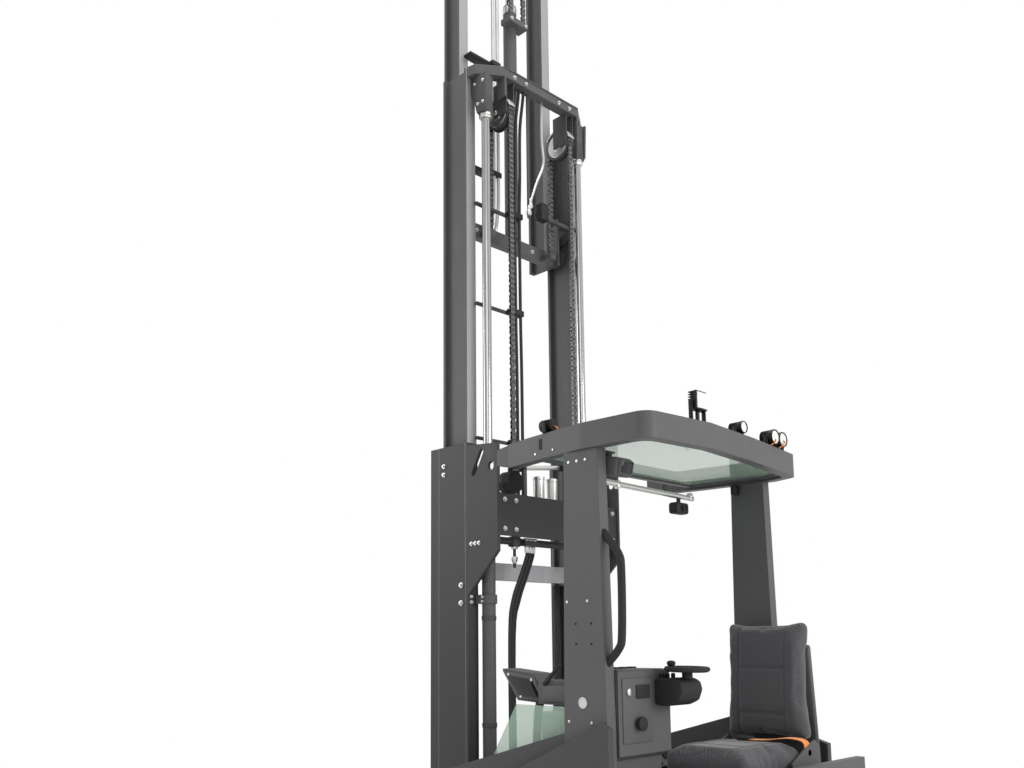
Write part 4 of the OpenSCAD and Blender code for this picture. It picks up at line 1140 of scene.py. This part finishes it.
def swollen(name, source, limit, voxel):
    """Pad that a short cloth simulation under pressure rounds out, by no more than limit."""
    obj = link(bpy.data.objects.new(name, source))
    remesh = obj.modifiers.new("remesh", "REMESH")
    remesh.mode = "VOXEL"
    remesh.voxel_size = voxel
    mesh = evaluated(obj)
    obj.modifiers.remove(remesh)
    obj.data = mesh
    cloth = obj.modifiers.new("cloth", "CLOTH")
    cloth.settings.use_pressure = True
    cloth.settings.uniform_pressure_force = 4.0
    cloth.settings.effector_weights.gravity = 0.0
    cloth.settings.quality = 4
    cloth.settings.mass = 0.3
    scene = bpy.context.scene
    for step in range(1, 21):
        scene.frame_set(step)
    result = evaluated(obj)
    obj.modifiers.remove(cloth)
    scene.frame_set(1)
    for vertex, after in zip(mesh.vertices, result.vertices):
        shift = after.co - vertex.co
        if shift.length > limit:
            shift = shift.normalized() * limit
        vertex.co += shift
    calm = bmesh.new()
    calm.from_mesh(mesh)
    for _ in range(8):
        bmesh.ops.smooth_vert(calm, verts=calm.verts[:], factor=0.5,
                              use_axis_x=True, use_axis_y=True, use_axis_z=True)
    calm.to_mesh(mesh)
    calm.free()
    bpy.data.objects.remove(obj)
    return mesh


class TRUCK_OT_seat(bpy.types.Operator):
    """Make the seat's cloth pads, shell, side covers and belt"""

    bl_idname = "truck.seat"
    bl_label = "Seat"

    # Places of the sewn channels, as shares of a pad's width and length
    LONG_SEAMS = (0.24, 0.76)
    CROSS_SEAMS = (0.36, 0.66)
    VOXEL = 0.006
    # Side cover, from the front of the seat back and the bottom of the cushion, along Y and Z
    COVER = ((0.12, -0.035), (0.14, 0.045), (0.03, 0.1), (-0.05, 0.13), (-0.09, 0.1), (-0.08, -0.035))

    def execute(self, context):
        swell = context.scene.truck_sizes.swell
        gap = swell * 0.8
        lo, hi = low("seat_cushion"), high("seat_cushion")
        blo, bhi = low("seat_back"), high("seat_back")
        pad = Shape().block((lo.x + gap, lo.y + 0.012, lo.z + 0.006), (hi.x - gap, hi.y - gap, hi.z - gap),
                            0.03, steps=4)
        self.pad("seat_pad", pad, "seat_cushion", swell, 2, 0.05)
        outline = [(bhi.y - 0.02, blo.z + 0.12), (bhi.y - 0.012, blo.z + 0.25), (bhi.y - 0.03, bhi.z - 0.12),
                   (bhi.y - 0.052, bhi.z - 0.02), (bhi.y - 0.075, bhi.z - 0.012),
                   (blo.y + 0.035, bhi.z - 0.03), (blo.y + 0.055, blo.z + 0.3),
                   (bhi.y - 0.085, blo.z + 0.12)]
        back = Shape().plate([(blo.x + gap, y, z) for y, z in outline], (bhi.x - blo.x - 2 * gap, 0, 0), 0.02)
        self.pad("back_pad", back, "seat_back", swell, 1, 0.06)
        self.shell(lo, hi, blo, bhi)
        self.belt(Vector((blo.x, bhi.y, hi.z)), lo.z)
        return {"FINISHED"}

    def shell(self, lo, hi, blo, bhi):
        shell = Shape()
        shell.block((blo.x + 0.03, blo.y + 0.006, blo.z + 0.02), (bhi.x - 0.03, blo.y + 0.03, bhi.z - 0.12),
                    0.01, Matrix.Rotation(math.radians(-5), 3, "X"), steps=3)
        for x in (blo.x + 0.002, bhi.x - 0.014):
            shell.plate([(x, bhi.y + y, lo.z + z) for y, z in self.COVER], (0.012, 0, 0), 0.004)
        base_lo, base_hi = low("seat_base"), high("seat_base")
        for i in range(5):
            z = base_lo.z + 0.012 + 0.0115 * i
            shell.block((lo.x + 0.035, base_lo.y + 0.01, z),
                        (hi.x - 0.035, base_hi.y + 0.004, z + 0.006), 0.002)
        place("seat_shell", shell, "chassis", "grey_moulding", "grey_plastic")

    def belt(self, corner, foot):
        """Strap and buckle, from the corner of the cushion's top by the seat back, and the cushion's foot."""
        x, y, z = corner
        belt = Shape().ribbon([(x + 0.014, y, foot + 0.075), (x + 0.01, y + 0.02, z + 0.005),
                               (x + 0.05, y + 0.07, z + 0.022), (x + 0.14, y + 0.1, z + 0.012),
                               (x + 0.23, y + 0.11, z + 0.01)], LEFT, 0.046, 0.003)
        place("lap_belt", belt, "chassis", "belt_webbing", "seat_fabric")
        buckle = Shape()
        buckle.block((x + 0.205, y + 0.085, z + 0.004), (x + 0.265, y + 0.135, z + 0.022), 0.006, steps=3)
        buckle.rod((x + 0.012, y, foot + 0.08), (x + 0.002, y, foot + 0.08), 0.014)
        place("belt_buckle", buckle, "chassis", "soft_black", "black_plastic")

    def seam(self, u, v):
        """Depth of the sewn channels at a place on a pad's face."""
        depth = sum(0.007 * math.exp(-((u - at) / 0.016) ** 2) for at in self.LONG_SEAMS)
        if self.LONG_SEAMS[0] < u < self.LONG_SEAMS[1]:
            depth += sum(0.005 * math.exp(-((v - at) / 0.013) ** 2) for at in self.CROSS_SEAMS)
        return depth

    def pad(self, name, shape, node, swell, axis, reach):
        """Cloth pad in place of a node, sewn on the face along an axis, Y or Z, as far in as reach."""
        lo, hi = low(node), high(node)
        length = 3 - axis
        mesh = swollen(name, shape.mesh(name), swell, self.VOXEL)
        for vertex in mesh.vertices:
            if vertex.co[axis] > hi[axis] - reach:
                u, v = ((vertex.co[i] - lo[i]) / (hi[i] - lo[i]) for i in (0, length))
                vertex.co[axis] -= self.seam(u, v)
        obj = place(name, mesh, "chassis", "seat_cloth", "seat_fabric", [node])
        rounding = obj.modifiers.new("soften", "SUBSURF")
        rounding.levels = rounding.render_levels = 1
        final = evaluated(obj)
        obj.modifiers.remove(rounding)
        obj.data = final
        final.shade_smooth()


class TRUCK_OT_body(bpy.types.Operator):
    """Build the battery's caps and cables, the vents and the panel fittings"""

    bl_idname = "truck.body"
    bl_label = "Body fittings"

    CELL = 0.08

    def execute(self, context):
        self.battery()
        self.panels()
        return {"FINISHED"}

    def battery(self):
        lo, hi = low("battery"), high("battery")
        top = hi.z
        rows = [((lo.x + 0.075 + 0.14 * i, -0.44 + self.CELL * j, top), UP, 0.018)
                for i in range(2) for j in range(12)]
        spots("battery_caps", "chassis", cell_cap, rows, "soft_black", "black_plastic")
        bars = Shape()
        for j in range(11):
            y = -0.412 + self.CELL * j
            for x in (lo.x + 0.03, hi.x - 0.05):
                bars.block((x, y, top - 0.001), (x + 0.02, y + 0.024, top + 0.012), 0.003)
        for x in (lo.x + 0.002, hi.x - 0.014):
            bars.block((x, lo.y + 0.01, top - 0.002), (x + 0.012, hi.y - 0.01, top + 0.014), 0.003)
        place("battery_bars", bars, "chassis", "black_aluminium", "battery_case")
        cable = Shape()
        for start, y in ((0.43, 0.47), (0.47, 0.5)):
            cable.tube([(lo.x + 0.06, start, top + 0.004), (lo.x + 0.06, y - 0.01, top + 0.03),
                        (lo.x + 0.09, y, top + 0.034), (lo.x + 0.16, y, top + 0.022),
                        (hi.x - 0.06, y, top + 0.014)], 0.009)
        cable.block((hi.x - 0.1, 0.45, top - 0.001), (hi.x - 0.03, 0.53, top + 0.03), 0.008, steps=3)
        place("battery_cables", cable, "chassis", "hose_rubber", "hose_rubber")

    def panels(self):
        side, rear = high("side_panels").y, low("rear_panel").x
        rows = [((-1.391, -0.2, 0.48 + 0.02 * i), UP, 0.3) for i in range(7)]
        spots("rear_vents", "chassis", slat, rows, "soft_black", "black_plastic")
        corners = ((-0.72, 0.36), (-0.72, 0.75), (-0.12, 0.36), (-0.12, 0.6), (-0.42, 0.36))
        rows, trim = [], Shape()
        for s in SIDES:
            rows += [((x, s * side, z), (0, s, 0), 0.009) for x, z in corners]
            rows += [((x, s * side, 0.26), (0, s, 0), 0.008) for x in (0.02, 0.08, 0.43)]
            trim.turned([(0, 0.03), (0.004, 0.032), (0.007, 0.028), (0.007, 0)],
                        (0.315, s * (side - 0.001), 0.1425), (0, s, 0), 32)
            for z in (0.406, 0.526):
                trim.centred((-0.38, s * (side - 0.0005), z), (0.22, 0.003, 0.006), 0.003)
        spots("panel_screws", "chassis", round_screw, rows)
        trim.block((rear - 0.0055, -0.5, 0.11), (rear + 0.001, 0.5, 0.17), 0.003)
        place("body_trim", trim, "chassis", "soft_black", "black_plastic")
        lamps = Shape().block((-1.4035, -0.06, 0.745), (-1.396, 0.02, 0.775), 0.003)
        for y in (-0.42, 0.0):
            lamps.turned([(0, 0.028), (0.004, 0.03), (0.007, 0.027), (0.009, 0.02), (0.009, 0)],
                         (-1.4005, y, 0.66), BACK, 32)
        place("rear_lamps", lamps, "chassis", "lamp_lens", "clear_pane")


class TRUCK_OT_wheels(bpy.types.Operator):
    """Add bolts to the wheels and ribs to the drive motor"""

    bl_idname = "truck.wheels"
    bl_label = "Wheel fittings"

    LOAD_AXLE = (0.315, 0.1425)
    DRIVE_AXLE = (-1.135, 0.1715)
    TRACK, DRIVE_Y = 0.565, -0.12

    def bolts(self, axle, y, radius, count, out, size):
        """Rows for a ring of bolts about an axle, facing out along Y."""
        angles = [2 * math.pi * i / count for i in range(count)]
        return [((axle[0] + radius * math.cos(a), y, axle[1] + radius * math.sin(a)), (0, out, 0), size)
                for a in angles]

    def execute(self, context):
        for name, body, side in (("left_bolts", "load_wheel_left", 1),
                                 ("right_bolts", "load_wheel_right", -1)):
            rows = []
            for out in SIDES:
                rows += self.bolts(self.LOAD_AXLE, side * self.TRACK + out * 0.0247, 0.068, 6, out, 0.006)
            spots(name, body, hex_bolt, rows)
        rows = self.bolts(self.DRIVE_AXLE, self.DRIVE_Y - 0.0345, 0.075, 8, -1, 0.009)
        spots("drive_bolts", "drive_wheel", hex_bolt, rows)
        rows = [((self.DRIVE_AXLE[0], self.DRIVE_Y, 0.42 + 0.03 * i), UP, 0.103) for i in range(8)]
        spots("motor_ribs", "chassis", round_fin, rows, "casting", "cast_housing")
        return {"FINISHED"}


class TRUCK_OT_forks(bpy.types.Operator):
    """Add hooks, pins, stops and bolts to the forks and the carriage"""

    bl_idname = "truck.forks"
    bl_label = "Fork fittings"

    def execute(self, context):
        face = high("fork_frame").x
        heel = low("forks").z
        steel = Shape()
        pin = face - 0.02
        for y in (-0.26, 0.26):
            for z in (heel + 0.067, heel + 0.522):
                steel.block((face - 0.04, y - 0.045, z), (face + 0.004, y + 0.045, z + 0.03), 0.005)
            steel.rod((pin, y, heel + 0.55), (pin, y, heel + 0.585), 0.011)
            steel.tube([(pin, y, heel + 0.58), (pin, y + 0.02, heel + 0.594), (pin, y + 0.04, heel + 0.58)],
                       0.005, 8)
            steel.block((face + 0.03, y - 0.049, heel + 0.03), (face + 0.058, y + 0.049, heel + 0.06),
                        0.012, steps=3)
        place("fork_hooks", steel, "tilt_frame", "charcoal_paint", "mast_paint")
        rows = [((face, y, heel + z), AHEAD, 0.007)
                for y in (-0.345, -0.18, -0.06, 0.06, 0.18, 0.345) for z in (0.14, 0.48)]
        rows += [((face - 0.005, y, heel + z), AHEAD, 0.006) for y in (-0.36, 0.36) for z in (0.69, 0.94)]
        spots("frame_bolts", "tilt_frame", round_screw, rows)
        rows = [((0.16, s * 0.252, z), (0, -s, 0), 0.008) for s in SIDES for z in (5.785, 6.06)]
        spots("carriage_bolts", "fork_carriage", hex_bolt, rows)
        return {"FINISHED"}


class TRUCK_OT_studio(bpy.types.Operator):
    """Make the floor, the lights and the camera"""

    bl_idname = "truck.studio"
    bl_label = "Studio"

    WHITE = (1, 1, 1, 1)
    # Name, diameter, power, place and aim of each light
    LIGHTS = (("top_light", 4.0, 260.0, (-0.6, 0.4, 8.0), (-0.4, 0.0, 1.5)),
              ("key_light", 3.0, 25.0, (-4.5, 4.5, 4.6), (-0.6, 0.0, 1.8)),
              ("rear_light", 3.0, 190.0, (-6.0, -0.8, 2.8), (-0.3, 0.0, 1.9)),
              ("front_light", 3.0, 90.0, (4.0, 3.5, 3.5), (0.0, 0.0, 2.0)))
    # Place and turn of each dark card
    CARDS = ((-3.4, 0.6, 0.25), (-0.9, 3.6, 1.35), (0.9, 3.4, 1.7), (-2.6, -3.0, -0.7))
    # Where the camera stands, and its own right and forward directions
    CAMERA = (-3.225, 3.265, 1.37)
    CAMERA_RIGHT = (-0.70002, -0.7141, -0.0100)
    CAMERA_AHEAD = (0.70646, -0.6944, 0.1363)

    def execute(self, context):
        settings = context.scene.truck_studio
        context.scene.view_settings.view_transform = "Standard"
        self.floor()
        self.world(context, settings)
        self.lamps()
        self.cards()
        self.camera(context, settings)
        return {"FINISHED"}

    def seen(self, g):
        """1 where the camera sees a surface straight, in a mirror or through glass."""
        rays = g.node("ShaderNodeLightPath").outputs
        straight, mirrored, through = (
            Field(g, rays[k]) for k in ("Is Camera Ray", "Is Glossy Ray", "Is Transmission Ray"))
        total = straight + mirrored + through
        return total.math("MINIMUM", total, 1.0)

    def floor(self):
        f = Finish("pale_floor")
        x, y, _ = f.axes()
        far = (x * x + y * y).smooth(3.0, 11.0)
        diffuse = f.value("ShaderNodeBsdfDiffuse", None, {"Color": (0.86, 0.86, 0.86, 1)})
        glow = f.value("ShaderNodeEmission", None, {"Color": self.WHITE, "Strength": 1.0})
        f.close(f.value("ShaderNodeMixShader", None, {0: far * self.seen(f), 1: diffuse, 2: glow}))
        mesh = bpy.data.meshes.new("floor")
        shape = bmesh.new()
        bmesh.ops.create_circle(shape, cap_ends=True, segments=96, radius=9.0)
        shape.to_mesh(mesh)
        shape.free()
        mesh.materials.append(f.material)
        link(bpy.data.objects.new("floor", mesh))

    def world(self, context, settings):
        world = bpy.data.worlds.new("studio")
        world.use_nodes = True
        world.node_tree.nodes.clear()
        g = Graph(world.node_tree)
        light = g.value("ShaderNodeBackground", None, {"Color": self.WHITE, "Strength": settings.fill})
        white = g.value("ShaderNodeBackground", None, {"Color": self.WHITE, "Strength": 1.0})
        mixed = g.value("ShaderNodeMixShader", None, {0: self.seen(g), 1: light, 2: white})
        g.node("ShaderNodeOutputWorld", None, {0: mixed})
        context.scene.world = world

    def lamps(self):
        for name, size, watts, spot, aim in self.LIGHTS:
            lamp = bpy.data.lights.new(name, "AREA")
            lamp.shape = "DISK"
            lamp.size = size
            lamp.energy = watts
            obj = link(bpy.data.objects.new(name, lamp))
            obj.location = spot
            obj.rotation_euler = (Vector(aim) - Vector(spot)).to_track_quat("-Z", "Y").to_euler()

    def cards(self):
        """Dark cards that only polished surfaces see, so that their edges show."""
        f = Finish("dark_card")
        f.surface(Base_Color=(0.02, 0.02, 0.02, 1), Roughness=0.9)
        shape = Shape()
        for x, y, turn in self.CARDS:
            shape.centred((x, y, 3.1), (0.01, 0.3, 2.9), 0.0, Matrix.Rotation(turn, 3, "Z"))
        mesh = shape.mesh("dark_cards")
        mesh.materials.append(f.material)
        obj = link(bpy.data.objects.new("dark_cards", mesh))
        obj.visible_camera = obj.visible_diffuse = obj.visible_shadow = obj.visible_transmission = False

    def camera(self, context, settings):
        right, ahead = Vector(self.CAMERA_RIGHT).normalized(), Vector(self.CAMERA_AHEAD).normalized()
        up = right.cross(ahead)
        camera = bpy.data.cameras.new("camera")
        camera.sensor_width = 36.0
        camera.lens = settings.lens
        camera.shift_y = settings.shift
        camera.clip_end = 60.0
        obj = link(bpy.data.objects.new("camera", camera))
        turn = Matrix((right, up, -ahead)).transposed().to_4x4()
        obj.matrix_world = Matrix.Translation(self.CAMERA) @ turn
        context.scene.camera = obj


class TRUCK_PT_panel(bpy.types.Panel):
    """Reach truck looks"""

    bl_label = "Reach Truck"
    bl_space_type = "VIEW_3D"
    bl_region_type = "UI"
    bl_category = "Reach Truck"

    def draw(self, context):
        scene = context.scene
        for group in (scene.truck_colours, scene.truck_sizes, scene.truck_studio):
            for name in group.bl_rna.properties.keys():
                if name not in ("rna_type", "name"):
                    self.layout.prop(group, name)
        for operator in OPERATORS:
            self.layout.operator(operator.bl_idname)


OPERATORS = (TRUCK_OT_finishes, TRUCK_OT_lamps, TRUCK_OT_guard_fittings, TRUCK_OT_chains,
             TRUCK_OT_mast_fittings, TRUCK_OT_cab, TRUCK_OT_seat, TRUCK_OT_body, TRUCK_OT_wheels,
             TRUCK_OT_forks, TRUCK_OT_studio)
CLASSES = (TruckColours, TruckSizes, StudioSettings, *OPERATORS, TRUCK_PT_panel)


def register():
    for cls in CLASSES:
        bpy.utils.register_class(cls)
    bpy.types.Scene.truck_colours = PointerProperty(type=TruckColours)
    bpy.types.Scene.truck_sizes = PointerProperty(type=TruckSizes)
    bpy.types.Scene.truck_studio = PointerProperty(type=StudioSettings)


def unregister():
    del bpy.types.Scene.truck_studio
    del bpy.types.Scene.truck_sizes
    del bpy.types.Scene.truck_colours
    for cls in reversed(CLASSES):
        bpy.utils.unregister_class(cls)


def main():
    register()
    for operator in OPERATORS:
        space, name = operator.bl_idname.split(".")
        getattr(getattr(bpy.ops, space), name)()


if __name__ == "__main__":
    main()
